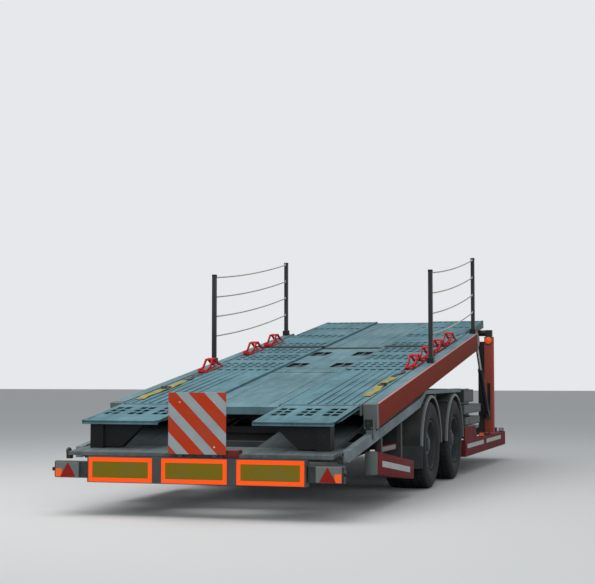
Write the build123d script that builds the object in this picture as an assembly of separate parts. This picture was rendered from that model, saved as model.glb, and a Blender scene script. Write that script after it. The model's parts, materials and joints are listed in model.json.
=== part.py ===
from build123d import *
import os
from math import asin, atan2, cos, degrees, hypot, pi, sin, tan

# A close-tandem car transporter trailer with a low drawbar, standing on its
# wheels and front jack leg. The upper deck lies lowered on the lower deck.
# Millimetres. While it is built, x is to the trailer's right, y runs forward
# from the rear face and z is up from the ground. The last step turns the
# trailer to face -Y, with the origin on the ground under its middle.

# Overall sizes
BODY_LENGTH = 8600
EYE_REACH = 1740
HALF_WIDTH = 1250

# Wheels and axles
TYRE_R = 445
TYRE_W = 445
TYRE_BORE_R = 250
BEAD_INSET = 44
CROWN_INSET = 32
BULGE_R = 360
RIM_GAP = 0.5
WHEEL_SIDES = 40
SMALL_SIDES = 24
RIM_INSET = 20
RIM_DEPTH = 105
RIM_LIP = 8
DISC_R = 205
HUB_R = 110
HUB_SEAT_R = 90
HUB_STANDOFF = 70
SPINDLE_R = 42
SPINDLE_GAP = 1
SPINDLE_INSET = 110
REAR_AXLE_S = 3520
AXLE_SPACING = 1310
AXLE_SIDE = 120
BRAKE_W = 80
BRAKE_R = 190
BRAKE_GAP = 12

# Trailing arms, their hangers and the air springs
ARM_HALF_W = 40
ARM_FRONT = 520
ARM_BACK = 430
ARM_T = 40
ARM_DROP = 80
HANGER_HALF_W = 60
HANGER_WALL = 15
SPRING_R = 105
SPRING_REACH = 330

# Mudguards and mudflaps
GUARD_GAP = 46
GUARD_WALL = 14
GUARD_STAY = 30
GUARD_STAY_LEAN = 35
FLAP_T = 10
FLAP_BOTTOM = 230

# Lower deck: the wheel tracks rise over the wheels and fall to the front floor
TAIL_S = 60
TAIL_H = 520
TAIL_L = 440
TAIL_RISE = 35
FLOOR_H = 470
OVER_GUARD = 16
LOWER_TRACK_T = 34
HIGH_BEHIND_AXLE = 520
HIGH_BEFORE_AXLE = 570
FALL_L = 900
TRACK_IN = 370
TRACK_MARGIN = 200
PLATE_T = 6
TRACK_GAP = 4

# Main frame
FRAME_BEAM_X = 500
FRAME_BEAM_W = 90
FRAME_BEAM_D = 150
FRAME_FLANGE_T = 12
FRAME_WEB_T = 10
BEAM_BACK = 300
CROSS_W = 80
CROSS_D = 60
CROSS_SET = 2
TAIL_CROSS_S = 420
SLOPE_CROSS_COUNT = 4
SLOPE_CROSS_BACK = 410
SLOPE_CROSS_FRONT = 295
FALL_CROSS = 450
FRONT_CROSS_GAP = 120

# Lower side rails, from the rear corners to the front wheels
RAIL_INSET = 100
RAIL_W = 60
RAIL_D = 90
RAIL_BACK = 330
RAIL_TAIL_DROP = 65
RAIL_BEND_DROP = 165
RAIL_BEND_REACH = 120
RAIL_STEP_REACH = 390
RAIL_CAP_DROP = 38
RAIL_CAP_D = 41

# Rear end
MARKER_T = 6
MARKER_H = 200
MARKER_BOTTOM = 280
MARKER_GAP = 83
MARKER_TO_LAMP = 20
BUMPER_D = 90
BUMPER_DROP = 6
TAIL_ARM_D = 40
TAIL_ARM_H = 70
LAMP_W = 300
LAMP_H = 138
LAMP_BOTTOM = 306
LAMP_D = 60
LAMP_GAP = 6
LENS_T = 8
LENS_MARGIN = 10
LENS_IN = 72
LENS_OUT = 15
TRIANGLE_IN = 130
TRIANGLE_HALF_W = 62
STUB_L = 25
STUB_R = 16
BOARD_SIDE = 500
BOARD_T = 8
BOARD_X = 18
BOARD_LIFT = 29
BOARD_S = 20
BOARD_STAY_X = 150
BOARD_STAY_W = 40
BOARD_STAY_T = 14
PLATFORM_T = 30
PLATFORM_GAP = 2
REST_X = 940
REST_W = 120
REST_L = 120
REST_GAP = 8
REST_S = 420
PAD_L = 80

# Side guards, light panels and front sills
SIDE_GUARD_T = 110
# columns: distance from the rear face, bottom height, top height
SIDE_GUARD_LINE = [(1120, 300, 500), (2600, 160, 335)]
SIDE_GUARD_STAYS = [1500, 2300]
SIDE_STAY_L = 60
SIDE_STAY_W = 40
LIGHT_PANEL_X = 960
LIGHT_PANEL_T = 50
LIGHT_PANEL_H = (420, 490)
LIGHT_PANEL_S = (2200, 2960)
SILL_REACH = 650
SILL_BOTTOM = 205
SILL_H = 180
SILL_T = 110
SILL_PANEL_H = 163
SILL_PANEL_L = 870
SILL_PANEL_T = 20
SILL_PANEL_INSET = 10

# Control boxes over the sill panel
SHELF_T = 12
SHELF_BACK_H = 430
BOX_W = 150
# columns: back and front as distances from the rear face, bottom above the shelf, height
CONTROL_BOXES = [(5680, 6700, 0, 95), (5600, 6780, 140, 105), (5580, 6240, 275, 150)]

# Air tanks
TANK_R = 110
TANK_HALF_L = 380

# Front lift columns, slotted at the back for the feet of the tilt cylinders, and their masts
COLUMN_S = 7600
COLUMN_W = 110
COLUMN_L = 120
COLUMN_WALL = 10
COLUMN_TOP = 1662
COLUMN_FLOOR = 30
POST_GAP = 5
POST_LIFT = 105
HEAD_R = 40
HEAD_INSET = 30
LAMP_BALL_R = 40
LAMP_DEPTH = 30
LAMP_BASE_T = 8
LIFT_STROKE = 350
MAST_GAP = 6
MAST_INSET = 12
MAST_DROP = 62

# Upper deck, set out along its own slope from the front pivot
PIVOT_H = 1712
DECK_BACK_H = 913
DECK_TOP = 146
DECK_BACK_S = 1160
DECK_FRONT_S = 7820
BEAM_END_S = 6345
BEAM_D = 215
BEAM_WEB = 12
BEAM_FLANGE = 120
BEAM_LOWER_FLANGE = 60
FLANGE_T = 12
END_BOX_L = 64
GUIDE_T = 12
GUIDE_GAP = 6
GUIDE_BOTTOM = 600
DECK_TRACK_T = 30
TRACK_FLANGE_GAP = 12
INNER_BEAM_X = 355
EDGE_BEAM_INSET = 165
DECK_BEAM_W = 50
DECK_BEAM_D = 70
DECK_CROSS_D = 62
DECK_CROSS_W = 60
CENTRE_T = 8
CENTRE_LIP = 60
LUG_T = 20
LUG_R = 66
LUG_GAP = 1
# columns: back and front of each deck section, as distances from the rear face
TRACK_SECTIONS = [(1096, 3290), (3300, 4960), (5070, 6330), (6340, DECK_FRONT_S)]
CENTRE_SECTIONS = [(1060, 3400), (3410, 4960), (5070, DECK_FRONT_S)]
DECK_CROSS_S = [1800, 2500, 3295, 4150, 5015, 6100]
PIVOT_CROSSES = [900, 380]

# Rear ramps of the upper deck
RAMP_HINGE_S = 1070
RAMP_LENGTH = 850
RAMP_T = 34
RAMP_TIP_T = 14
RAMP_TAPER_L = 250
RAMP_PLATE_T = 6
RAMP_RIB_W = 12
RAMP_RIBS = 4
RAMP_OUT_INSET = 142
RAMP_IN_GAP = 45
RAMP_CHEEK_T = 12
RAMP_CHEEK_GAP = 1.5
HINGE_R = 17
HINGE_REACH = 26
HINGE_GAP = 6
HOLE_L = 60
HOLE_W = 50
HOLE_PITCH = 78
HOLE_ROWS = [330, 450, 570]

# Safety posts and ropes
POST_X_INSET = 45
POST_SIDE = 42
SOCKET_SIDE = 70
SOCKET_H = 60
# columns: distance from the rear face, top height
SAFETY_POSTS = [(3670, 2260), (6290, 2600)]
ROPE_COUNT = 4
ROPE_R = 6
ROPE_PITCH = 215
ROPE_DROP = 30
ROPE_SAG = 45
ROPE_GAP = 3
ROPE_SIDES = 6
ROPE_END_GAP = 1

# Wheel stops and straps
# columns: side (1 right, -1 left), distance from the rear face
WHEEL_STOPS = [(1, 3170), (1, 3800), (1, 4430), (1, 5090), (-1, 2920), (-1, 4340), (-1, 5090)]
STOP_L = 580
STOP_W = 90
STOP_H = 125
STOP_BASE_T = 12
STOP_CHEEK_T = 10
STOP_BAR = 34
# columns: side, distance from the rear face
STRAPS = [(1, 1530), (-1, 1300)]
STRAP_L = 1100
STRAP_W = 60
STRAP_T = 10

# Tilt cylinders, from the inner posts up to the deck's side beams
CYL_FOOT_REACH = 200
CYL_FOOT_H = 640
CYL_EYE_REACH = 190
CYL_EYE_G = 20
FOOT_PLATE_T = 30
FOOT_PLATE_H = 110
SLOT_SIDE_GAP = 6
FORK_T = 12
FORK_GAP = 2
FORK_R = 34
BARREL_R = 32
BARREL_BACK = 80
BARREL_L = 790
ROD_R = 19
ROD_GAP = 1
ROD_BACK = 420
EYE_R = 34
EYE_W = 40
PIN_R = 15
PIN_GAP = 0.5
CHEEK_T = 12
CHEEK_GAP = 3
CHEEK_L = 270

# Drawbar, towing eye and jack leg
BAR_TAIL = 2200
BAR_W = 200
BAR_H = 150
BAR_BOTTOM = 290
BAR_NECK = 520
NECK_HALF_W = 60
NECK_HALF_H = 45
STRUT_BACK = 80
STRUT_REACH = 700
STRUT_W = 110
EYE_BORE_R = 25
EYE_OUTER_R = 62
EYE_T = 48
EYE_SHANK = 200
EYE_SHANK_W = 64
EYE_H = 365
PANEL_REACH = 120
PANEL_T = 20
PANEL_HALF_W = 150
PANEL_H = 260
PANEL_FOOT_L = 100
JACK_REACH = 780
JACK_TUBE_W = 84
JACK_WALL = 6
JACK_TUBE_BOTTOM = 300
JACK_TUBE_TOP = 960
JACK_GAP = 2
JACK_ARM_L = 120
JACK_LEG_TOP = 640
JACK_FOOT_R = 120
JACK_FOOT_T = 14
GEARBOX_H = 110
GEARBOX_W = 60
CRANK_L = 150
CRANK_W = 16

# Places that follow from the sizes above
OVERALL = BODY_LENGTH + EYE_REACH + EYE_OUTER_R
AXLES = [REAR_AXLE_S, REAR_AXLE_S + AXLE_SPACING]
TYRE_INNER = HALF_WIDTH - TYRE_W
GUARD_R = TYRE_R + GUARD_GAP
HIGH_H = TYRE_R + GUARD_R + GUARD_WALL + OVER_GUARD + LOWER_TRACK_T
TAIL_END_S = TAIL_S + TAIL_L
HIGH_BACK_S = AXLES[0] - HIGH_BEHIND_AXLE
HIGH_FRONT_S = AXLES[1] + HIGH_BEFORE_AXLE
FLOOR_BACK_S = HIGH_FRONT_S + FALL_L
RAIL_IN = HALF_WIDTH - RAIL_INSET
LOWER_TRACK_OUT = HALF_WIDTH - TRACK_MARGIN
SILL_IN = HALF_WIDTH - SILL_T
SILL_BACK = AXLES[1] + SILL_REACH
SILL_TOP = SILL_BOTTOM + SILL_H
# columns: distance from the rear face, height of the track's top
LOWER_LINE = [(TAIL_S, TAIL_H), (TAIL_END_S, TAIL_H + TAIL_RISE), (HIGH_BACK_S, HIGH_H),
              (HIGH_FRONT_S, HIGH_H), (FLOOR_BACK_S, FLOOR_H), (BODY_LENGTH, FLOOR_H)]
# columns: distance from the rear face, height of the rail's top, its depth
RAIL_LINE = [(RAIL_BACK, TAIL_H - RAIL_TAIL_DROP + RAIL_D, RAIL_D),
             (HIGH_BACK_S + RAIL_BEND_REACH, HIGH_H - RAIL_BEND_DROP + RAIL_D, RAIL_D),
             (HIGH_BACK_S + RAIL_STEP_REACH, HIGH_H - RAIL_CAP_DROP + RAIL_CAP_D, RAIL_CAP_D),
             (HIGH_FRONT_S, HIGH_H - RAIL_CAP_DROP + RAIL_CAP_D, RAIL_CAP_D)]
TURN = Location((0, OVERALL / 2, 0), (0, 0, 180))
DECK_REACH, DECK_RISE = COLUMN_S - DECK_BACK_S, PIVOT_H - DECK_BACK_H
SLOPE = atan2(DECK_RISE, DECK_REACH) + asin(DECK_TOP / hypot(DECK_REACH, DECK_RISE))
DECK = Location((0, COLUMN_S, PIVOT_H), (degrees(SLOPE), 0, 0))
DECK_LOW = DECK_TOP - BEAM_D
DECK_UNDER = DECK_TOP - DECK_TRACK_T
NODES = {}


def keep(name, *pieces):
    """Turn the pieces into the finished frame and keep them under one name."""
    solids = [solid for piece in pieces for solid in piece.solids()]
    NODES[name] = Compound([TURN * solid for solid in solids])


def block(x, y, z):
    """A box between two limits on each axis."""
    size = [high - low for low, high in (x, y, z)]
    middle = [(low + high) / 2 for low, high in (x, y, z)]
    return Pos(*middle) * Box(*size)


def prism(points, x0, x1):
    """An outline of (y, z) points, drawn out between two values of x."""
    outline = make_face(Polyline(*points, close=True))
    return extrude(Plane.YZ.offset(x0) * outline, amount=x1 - x0)


def rod_x(radius, x0, x1, y, z):
    """A round bar along x."""
    return Pos((x0 + x1) / 2, y, z) * Rot(0, 90, 0) * Cylinder(radius, x1 - x0)


def rod_y(radius, y0, y1, x, z):
    """A round bar along y."""
    return Pos(x, (y0 + y1) / 2, z) * Rot(90, 0, 0) * Cylinder(radius, y1 - y0)


def other_side(piece):
    return mirror(piece, about=Plane.YZ)


def both(piece):
    return [piece, other_side(piece)]


def height_on(line, s):
    """The height of a bent line at a distance from the rear face."""
    for low, high in zip(line, line[1:]):
        if low[0] <= s <= high[0]:
            share = (s - low[0]) / (high[0] - low[0])
            return low[1] + share * (high[1] - low[1])
    return line[-1][1]


def band(line, top_drop, depth):
    """The outline between a bent line lowered by top_drop and one depth lower."""
    upper = [(s, h - top_drop) for s, h in line]
    lower = [(s, h - top_drop - depth) for s, h in reversed(line)]
    return upper + lower


def tray(outline_of, x0, x1, depth, wall):
    """A folded plate: a flat top with a lip turned down along both edges.

    outline_of gives the side view for a depth below the top.
    """
    top = prism(outline_of(wall), x0, x1)
    return top + prism(outline_of(depth), x0, x0 + wall) + prism(outline_of(depth), x1 - wall, x1)


def along(s):
    """Distance along the upper deck from its pivot, for a place on its top."""
    return (s - COLUMN_S + DECK_TOP * sin(SLOPE)) / cos(SLOPE)


def deck_height(s, drop=0):
    """Height of the upper deck's top, less a drop square to the deck."""
    return PIVOT_H + (DECK_TOP - drop) / cos(SLOPE) + (s - COLUMN_S) * tan(SLOPE)


def deck_block(x, s, g):
    """A box square to the upper deck: s along its top, g above its pivot."""
    return DECK * block(x, (along(s[0]), along(s[1])), g)


def deck_tray(x, s):
    """A folded track plate of the upper deck."""
    back, front = along(s[0]), along(s[1])

    def outline_of(depth):
        return [(back, DECK_TOP - depth), (front, DECK_TOP - depth), (front, DECK_TOP), (back, DECK_TOP)]

    return DECK * tray(outline_of, x[0], x[1], DECK_TRACK_T, PLATE_T)


def turned(outline, sides):
    """A closed outline of (x, radius) points, carried round the x axis in straight facets."""
    def corner(point, count):
        turn = 2 * pi * count / sides
        return (point[0], point[1] * cos(turn), point[1] * sin(turn))

    facets = []
    for start, stop in zip(outline, outline[1:] + outline[:1]):
        for count in range(sides):
            facets.append(Face(Wire.make_polygon([corner(start, count), corner(stop, count),
                                                  corner(stop, count + 1), corner(start, count + 1)])))
    return Solid(Shell(facets))


def tyre():
    """A wide tyre on the right side, with side walls that bulge between the bead and the crown."""
    inner, outer = TYRE_INNER, HALF_WIDTH
    return turned([(inner + BEAD_INSET, TYRE_BORE_R), (outer - BEAD_INSET, TYRE_BORE_R),
                   (outer, BULGE_R), (outer - CROWN_INSET, TYRE_R),
                   (inner + CROWN_INSET, TYRE_R), (inner, BULGE_R)], WHEEL_SIDES)


def wheel_rim():
    """A rim with its disc set deep inside it, and the hub, bored for the axle's spindle."""
    inner, outer = TYRE_INNER + RIM_INSET, HALF_WIDTH - RIM_INSET
    rim_r = TYRE_BORE_R - RIM_GAP
    disc = outer - RIM_DEPTH
    rim = turned([(inner, HUB_SEAT_R), (inner, rim_r), (outer, rim_r), (outer, rim_r - RIM_LIP),
                  (disc, DISC_R), (disc, HUB_SEAT_R)], WHEEL_SIDES)
    hub = rod_x(HUB_R, inner, disc + HUB_STANDOFF, 0, 0)
    hub -= rod_x(SPINDLE_R + SPINDLE_GAP, inner - 1, HALF_WIDTH - SPINDLE_INSET + SPINDLE_GAP, 0, 0)
    return rim + hub


# Wheels
for axle_name, axle_s in zip(("rear", "front"), AXLES):
    centre = Pos(0, axle_s, TYRE_R)
    for side_name, wheel in (("right", [tyre(), wheel_rim()]),
                             ("left", [other_side(tyre()), other_side(wheel_rim())])):
        keep(f"tyres_{axle_name}_{side_name}", centre * wheel[0])
        keep(f"rims_{axle_name}_{side_name}", centre * wheel[1])

# Axles with their spindles and disc brakes
axles = []
for axle_s in AXLES:
    brake_out = TYRE_INNER - BRAKE_GAP
    half_side = AXLE_SIDE / 2
    beam = block((BRAKE_W - brake_out, brake_out - BRAKE_W), (axle_s - half_side, axle_s + half_side),
                 (TYRE_R - half_side, TYRE_R + half_side))
    spindle_out = HALF_WIDTH - SPINDLE_INSET
    axle = beam + rod_x(SPINDLE_R, -spindle_out, spindle_out, axle_s, TYRE_R)
    # The caliper sits over the front of the disc and carries its chamber
    caliper = prism([(axle_s + half_side, TYRE_R - BRAKE_R / 2), (axle_s + BRAKE_R, TYRE_R - BRAKE_R / 2),
                     (axle_s + BRAKE_R, TYRE_R + BRAKE_R / 2), (axle_s, TYRE_R + BRAKE_R),
                     (axle_s - half_side, TYRE_R + half_side), (axle_s - half_side, TYRE_R - half_side)],
                    brake_out - BRAKE_W, brake_out)
    axles.append(axle + caliper + other_side(caliper))
keep("axles", *axles)

# Trailing arms with their hangers, and the air springs behind the axles
arms = []
springs = []
beam_under = HIGH_H - LOWER_TRACK_T - FRAME_BEAM_D
for axle_s in AXLES:
    seat = TYRE_R - AXLE_SIDE / 2
    arm = prism([(axle_s + ARM_FRONT, TYRE_R + ARM_T), (axle_s + ARM_FRONT, TYRE_R),
                 (axle_s + AXLE_SIDE, seat - ARM_T), (axle_s - ARM_BACK, TYRE_R - ARM_DROP - ARM_T),
                 (axle_s - ARM_BACK, TYRE_R - ARM_DROP),
                 (axle_s - SPRING_REACH + SPRING_R, TYRE_R - ARM_DROP), (axle_s - AXLE_SIDE, seat),
                 (axle_s + AXLE_SIDE, seat)],
                FRAME_BEAM_X - ARM_HALF_W, FRAME_BEAM_X + ARM_HALF_W)
    hanger = prism([(axle_s + ARM_FRONT - AXLE_SIDE, beam_under), (axle_s + ARM_FRONT + ARM_T, beam_under),
                    (axle_s + ARM_FRONT + ARM_T / 2, TYRE_R - ARM_T),
                    (axle_s + ARM_FRONT - AXLE_SIDE / 2, TYRE_R - ARM_T)],
                   FRAME_BEAM_X - HANGER_HALF_W, FRAME_BEAM_X + HANGER_HALF_W)
    hanger -= block((FRAME_BEAM_X - HANGER_HALF_W + HANGER_WALL, FRAME_BEAM_X + HANGER_HALF_W - HANGER_WALL),
                    (axle_s + ARM_FRONT - 2 * AXLE_SIDE, axle_s + ARM_FRONT + AXLE_SIDE),
                    (TYRE_R - 2 * ARM_T, TYRE_R + 2 * ARM_T))
    pivot = rod_x(ARM_T / 2, FRAME_BEAM_X - HANGER_HALF_W, FRAME_BEAM_X + HANGER_HALF_W,
                  axle_s + ARM_FRONT - ARM_T / 2, TYRE_R + ARM_T / 2)
    arms += both(arm + hanger + pivot)
    spring_low = TYRE_R - ARM_DROP
    spring = Pos(FRAME_BEAM_X, axle_s - SPRING_REACH, (spring_low + beam_under) / 2)
    bellows = extrude(RegularPolygon(SPRING_R, SMALL_SIDES), amount=(beam_under - spring_low) / 2, both=True)
    springs += both(spring * bellows)
keep("suspension_arms", *arms)
keep("air_springs", *springs)

# Main frame: two bent beams of I section
beam_line = [(BEAM_BACK, height_on(LOWER_LINE, BEAM_BACK))] + LOWER_LINE[1:]
half_flange = FRAME_BEAM_W / 2
half_web = FRAME_WEB_T / 2
frame_beam = prism(band(beam_line, LOWER_TRACK_T, FRAME_BEAM_D),
                   FRAME_BEAM_X - half_web, FRAME_BEAM_X + half_web)
for drop in (LOWER_TRACK_T, LOWER_TRACK_T + FRAME_BEAM_D - FRAME_FLANGE_T):
    frame_beam += prism(band(beam_line, drop, FRAME_FLANGE_T),
                        FRAME_BEAM_X - half_flange, FRAME_BEAM_X + half_flange)
keep("frame_beams", *both(frame_beam))

# Crossmembers, in three lengths between and outside the beams
# columns: distance from the rear face, half length
cross_table = [(TAIL_CROSS_S, RAIL_IN)]
slope_run = HIGH_BACK_S - SLOPE_CROSS_FRONT - (TAIL_END_S + SLOPE_CROSS_BACK)
for count in range(SLOPE_CROSS_COUNT):
    share = count / (SLOPE_CROSS_COUNT - 1)
    cross_table.append((TAIL_END_S + SLOPE_CROSS_BACK + share * slope_run, RAIL_IN))
cross_table += [((AXLES[0] + AXLES[1]) / 2, RAIL_IN), (HIGH_FRONT_S - CROSS_W, RAIL_IN),
                (HIGH_FRONT_S + FALL_CROSS, LOWER_TRACK_OUT), (FLOOR_BACK_S + FRONT_CROSS_GAP, SILL_IN),
                (COLUMN_S, SILL_IN), ((COLUMN_S + BODY_LENGTH) / 2, SILL_IN),
                (BODY_LENGTH - CROSS_W / 2, SILL_IN)]
crossmembers = []
for s, half in cross_table:
    back, front = s - CROSS_W / 2, s + CROSS_W / 2
    top = min(height_on(LOWER_LINE, back), height_on(LOWER_LINE, front)) - LOWER_TRACK_T - CROSS_SET
    flange_in, flange_out = FRAME_BEAM_X - half_flange, FRAME_BEAM_X + half_flange
    crossmembers += both(block((flange_out, half), (back, front), (top - CROSS_D, top)))
    crossmembers.append(block((-flange_in, flange_in), (back, front), (top - CROSS_D, top)))
keep("crossmembers", *crossmembers)

# Lower tracks: one folded plate for each straight of the lower line
tracks = []
for low, high in zip(LOWER_LINE[1:], LOWER_LINE[2:]):
    ends = [(s, height_on(LOWER_LINE, s)) for s in (low[0] + TRACK_GAP, high[0] - TRACK_GAP)]
    track = tray(lambda depth: band(ends, 0, depth), TRACK_IN, LOWER_TRACK_OUT, LOWER_TRACK_T, PLATE_T)
    tracks += both(track)
keep("lower_tracks", *tracks)

# Lower side rails, with a pad for the upper deck's rear end
rail_top = [(s, top) for s, top, depth in RAIL_LINE]
rail_low = [(s, top - depth) for s, top, depth in reversed(RAIL_LINE)]
rail = prism(rail_top + rail_low, RAIL_IN, RAIL_IN + RAIL_W)
pad_s = (DECK_BACK_S - PAD_L / 2, DECK_BACK_S + PAD_L / 2)
pad = prism([(s, height_on(rail_top, s) - PLATE_T) for s in pad_s] +
            [(s, deck_height(s, BEAM_D) - REST_GAP) for s in reversed(pad_s)], RAIL_IN, RAIL_IN + RAIL_W)
keep("lower_rails", *both(rail + pad))

# Rear platform and the rests under the deck's ramps
platform_run = [(s, height_on(LOWER_LINE, s)) for s in (TAIL_S, TAIL_END_S - TRACK_GAP)]
platform_out = RAIL_IN - PLATFORM_GAP
keep("rear_platform", prism(band(platform_run, 0, PLATFORM_T), -platform_out, platform_out))
rest_s = (REST_S - REST_L, REST_S)
rest = prism([(s, height_on(LOWER_LINE, s)) for s in rest_s] +
             [(s, deck_height(s, RAMP_T) - REST_GAP) for s in reversed(rest_s)], REST_X, REST_X + REST_W)
keep("deck_rests", *both(rest))

# Rear cross beam with the arms of the tail lamps and its stays to the frame
bumper_low = MARKER_BOTTOM - BUMPER_DROP
bumper_top = MARKER_BOTTOM + MARKER_H + BUMPER_DROP
bumper_half = HALF_WIDTH - LAMP_W - LAMP_GAP
bumper = block((-bumper_half, bumper_half), (MARKER_T, MARKER_T + BUMPER_D), (bumper_low, bumper_top))
arm_s = LAMP_D + LENS_T
arm_h = LAMP_BOTTOM + LAMP_H / 2
tail_arm = block((bumper_half, HALF_WIDTH - LAMP_GAP), (arm_s, arm_s + TAIL_ARM_D),
                 (arm_h - TAIL_ARM_H / 2, arm_h + TAIL_ARM_H / 2))
tail_arm += block((bumper_half - TAIL_ARM_H, bumper_half), (MARKER_T, arm_s + TAIL_ARM_D),
                  (arm_h - TAIL_ARM_H / 2, arm_h + TAIL_ARM_H / 2))
beam_mid_h = height_on(beam_line, BEAM_BACK) - LOWER_TRACK_T - FRAME_BEAM_D / 2
stay = block((FRAME_BEAM_X - half_flange, FRAME_BEAM_X + half_flange), (MARKER_T + BUMPER_D, BEAM_BACK),
             (beam_mid_h - CROSS_D, beam_mid_h + CROSS_D))
for piece in both(tail_arm) + both(stay):
    bumper += piece
keep("rear_crossbeam", bumper)

# Marker plates
markers = []
marker_w = (2 * (HALF_WIDTH - LAMP_W - MARKER_TO_LAMP) - 2 * MARKER_GAP) / 3
for column in (-1, 0, 1):
    markers.append(Pos(column * (marker_w + MARKER_GAP), MARKER_T / 2, MARKER_BOTTOM + MARKER_H / 2) *
                   Box(marker_w, MARKER_T, MARKER_H))
keep("marker_plates", *markers)

# Tail lamps: a housing with a wide lens, a triangle raised on it and a stub arm
lamp_low, lamp_top = LAMP_BOTTOM, LAMP_BOTTOM + LAMP_H
lamp = block((HALF_WIDTH - LAMP_W, HALF_WIDTH), (LENS_T, LENS_T + LAMP_D), (lamp_low, lamp_top))
lamp += block((HALF_WIDTH - LAMP_W + LENS_IN, HALF_WIDTH - LENS_OUT), (LENS_T / 2, LENS_T),
              (lamp_low + LENS_MARGIN, lamp_top - LENS_MARGIN))
triangle_x = HALF_WIDTH - TRIANGLE_IN
triangle = make_face(Polyline((triangle_x - TRIANGLE_HALF_W, lamp_low + 2 * LENS_MARGIN),
                              (triangle_x + TRIANGLE_HALF_W, lamp_low + 2 * LENS_MARGIN),
                              (triangle_x, lamp_top - 2 * LENS_MARGIN), close=True))
lamp += extrude(Plane.XZ * triangle, amount=-LENS_T)
lamp += rod_x(STUB_R, HALF_WIDTH - STUB_L, HALF_WIDTH + STUB_L, LENS_T + LAMP_D / 2, arm_h)
keep("tail_lamps", *both(lamp))

# Warning board on two uprights
board_low = bumper_top + BOARD_LIFT
board = block((BOARD_X - BOARD_SIDE / 2, BOARD_X + BOARD_SIDE / 2), (BOARD_S, BOARD_S + BOARD_T),
              (board_low, board_low + BOARD_SIDE))
for offset in (-BOARD_STAY_X, BOARD_STAY_X):
    board += block((BOARD_X + offset - BOARD_STAY_W / 2, BOARD_X + offset + BOARD_STAY_W / 2),
                   (BOARD_S + BOARD_T, BOARD_S + BOARD_T + BOARD_STAY_T),
                   (bumper_top, board_low + BOARD_SIDE - BOARD_STAY_W))
keep("warning_board", board)

# Side guards behind the wheels, hung from the rails, and the light panels inside them
(back_s, back_low, back_top), (front_s, front_low, front_top) = SIDE_GUARD_LINE
guard_x = (HALF_WIDTH - SIDE_GUARD_T, HALF_WIDTH)
guard = prism([(back_s, back_low), (back_s, back_top), (front_s, front_top), (front_s, front_low)], *guard_x)
guard += Pos(sum(guard_x) / 2, back_s, (back_low + back_top) / 2) * Cylinder(
    SIDE_GUARD_T / 2, back_top - back_low)
rail_under = [(s, top - depth) for s, top, depth in RAIL_LINE]
for s in SIDE_GUARD_STAYS:
    guard += block((RAIL_IN, RAIL_IN + SIDE_STAY_W), (s, s + SIDE_STAY_L),
                   (front_top, height_on(rail_under, s)))
light_panel = block((LIGHT_PANEL_X, LIGHT_PANEL_X + LIGHT_PANEL_T), LIGHT_PANEL_S, LIGHT_PANEL_H)
for s, half in cross_table:
    if LIGHT_PANEL_S[0] < s < LIGHT_PANEL_S[1]:
        under_cross = height_on(LOWER_LINE, s - CROSS_W / 2) - LOWER_TRACK_T - CROSS_SET - CROSS_D
        light_panel += block((LIGHT_PANEL_X, LIGHT_PANEL_X + LIGHT_PANEL_T / 2),
                             (s - SIDE_STAY_W / 2, s + SIDE_STAY_W / 2), (LIGHT_PANEL_H[0], under_cross))
keep("side_guards", *both(guard), *both(light_panel))

# Front sills, with a panel that rises behind the front wheels
sill = block((SILL_IN, HALF_WIDTH), (SILL_BACK, BODY_LENGTH), (SILL_BOTTOM, SILL_TOP))
panel_top = SILL_TOP + SILL_PANEL_H
panel_x = (HALF_WIDTH - SILL_PANEL_INSET - SILL_PANEL_T, HALF_WIDTH - SILL_PANEL_INSET)
sill += prism([(SILL_BACK, SILL_TOP), (SILL_BACK, panel_top),
               (SILL_BACK + SILL_PANEL_L - SILL_PANEL_H, panel_top), (SILL_BACK + SILL_PANEL_L, SILL_TOP)],
              *panel_x)
keep("front_sills", *both(sill))

# Control boxes: a shelf on the panel, its back plate on a crossmember, and three boxes
shelf_s = (CONTROL_BOXES[0][0], SILL_BACK + SILL_PANEL_L - SILL_PANEL_H)
back_x = (LOWER_TRACK_OUT, LOWER_TRACK_OUT + SHELF_T)
back_s = (CONTROL_BOXES[-1][0], CONTROL_BOXES[1][1])
shelf_top = panel_top + SHELF_T
controls = block((back_x[0], panel_x[1]), shelf_s, (panel_top, shelf_top))
controls += block(back_x, back_s, (panel_top, shelf_top + SHELF_BACK_H))
for back, front, lift, height in CONTROL_BOXES:
    box_low = shelf_top + lift
    controls += block((back_x[1], back_x[1] + BOX_W), (back, front), (box_low, box_low + height))
keep("control_boxes", *both(controls))

# Mudguards on stays from the frame, and the mudflaps behind the rear wheels
guards = []
for axle_s in AXLES:
    arc = turned([(TYRE_INNER, GUARD_R), (HALF_WIDTH, GUARD_R), (HALF_WIDTH, GUARD_R + GUARD_WALL),
                  (TYRE_INNER, GUARD_R + GUARD_WALL)], WHEEL_SIDES)
    arc -= block((0, 2 * HALF_WIDTH), (-2 * TYRE_R, 2 * TYRE_R), (-2 * TYRE_R, 0))
    for lean in (-GUARD_STAY_LEAN, GUARD_STAY_LEAN):
        arc += Rot(lean, 0, 0) * block((FRAME_BEAM_X + half_web, HALF_WIDTH - GUARD_STAY),
                                       (-GUARD_STAY / 2, GUARD_STAY / 2),
                                       (GUARD_R + GUARD_WALL / 2, GUARD_R + GUARD_STAY))
    guards += both(Pos(0, axle_s, TYRE_R) * arc)
keep("mudguards", *guards)
flap_front = AXLES[0] - GUARD_R - GUARD_WALL
keep("mudflaps", *both(block((TYRE_INNER, HALF_WIDTH), (flap_front - FLAP_T, flap_front),
                             (FLAP_BOTTOM, TYRE_R + FLAP_T))))

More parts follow.
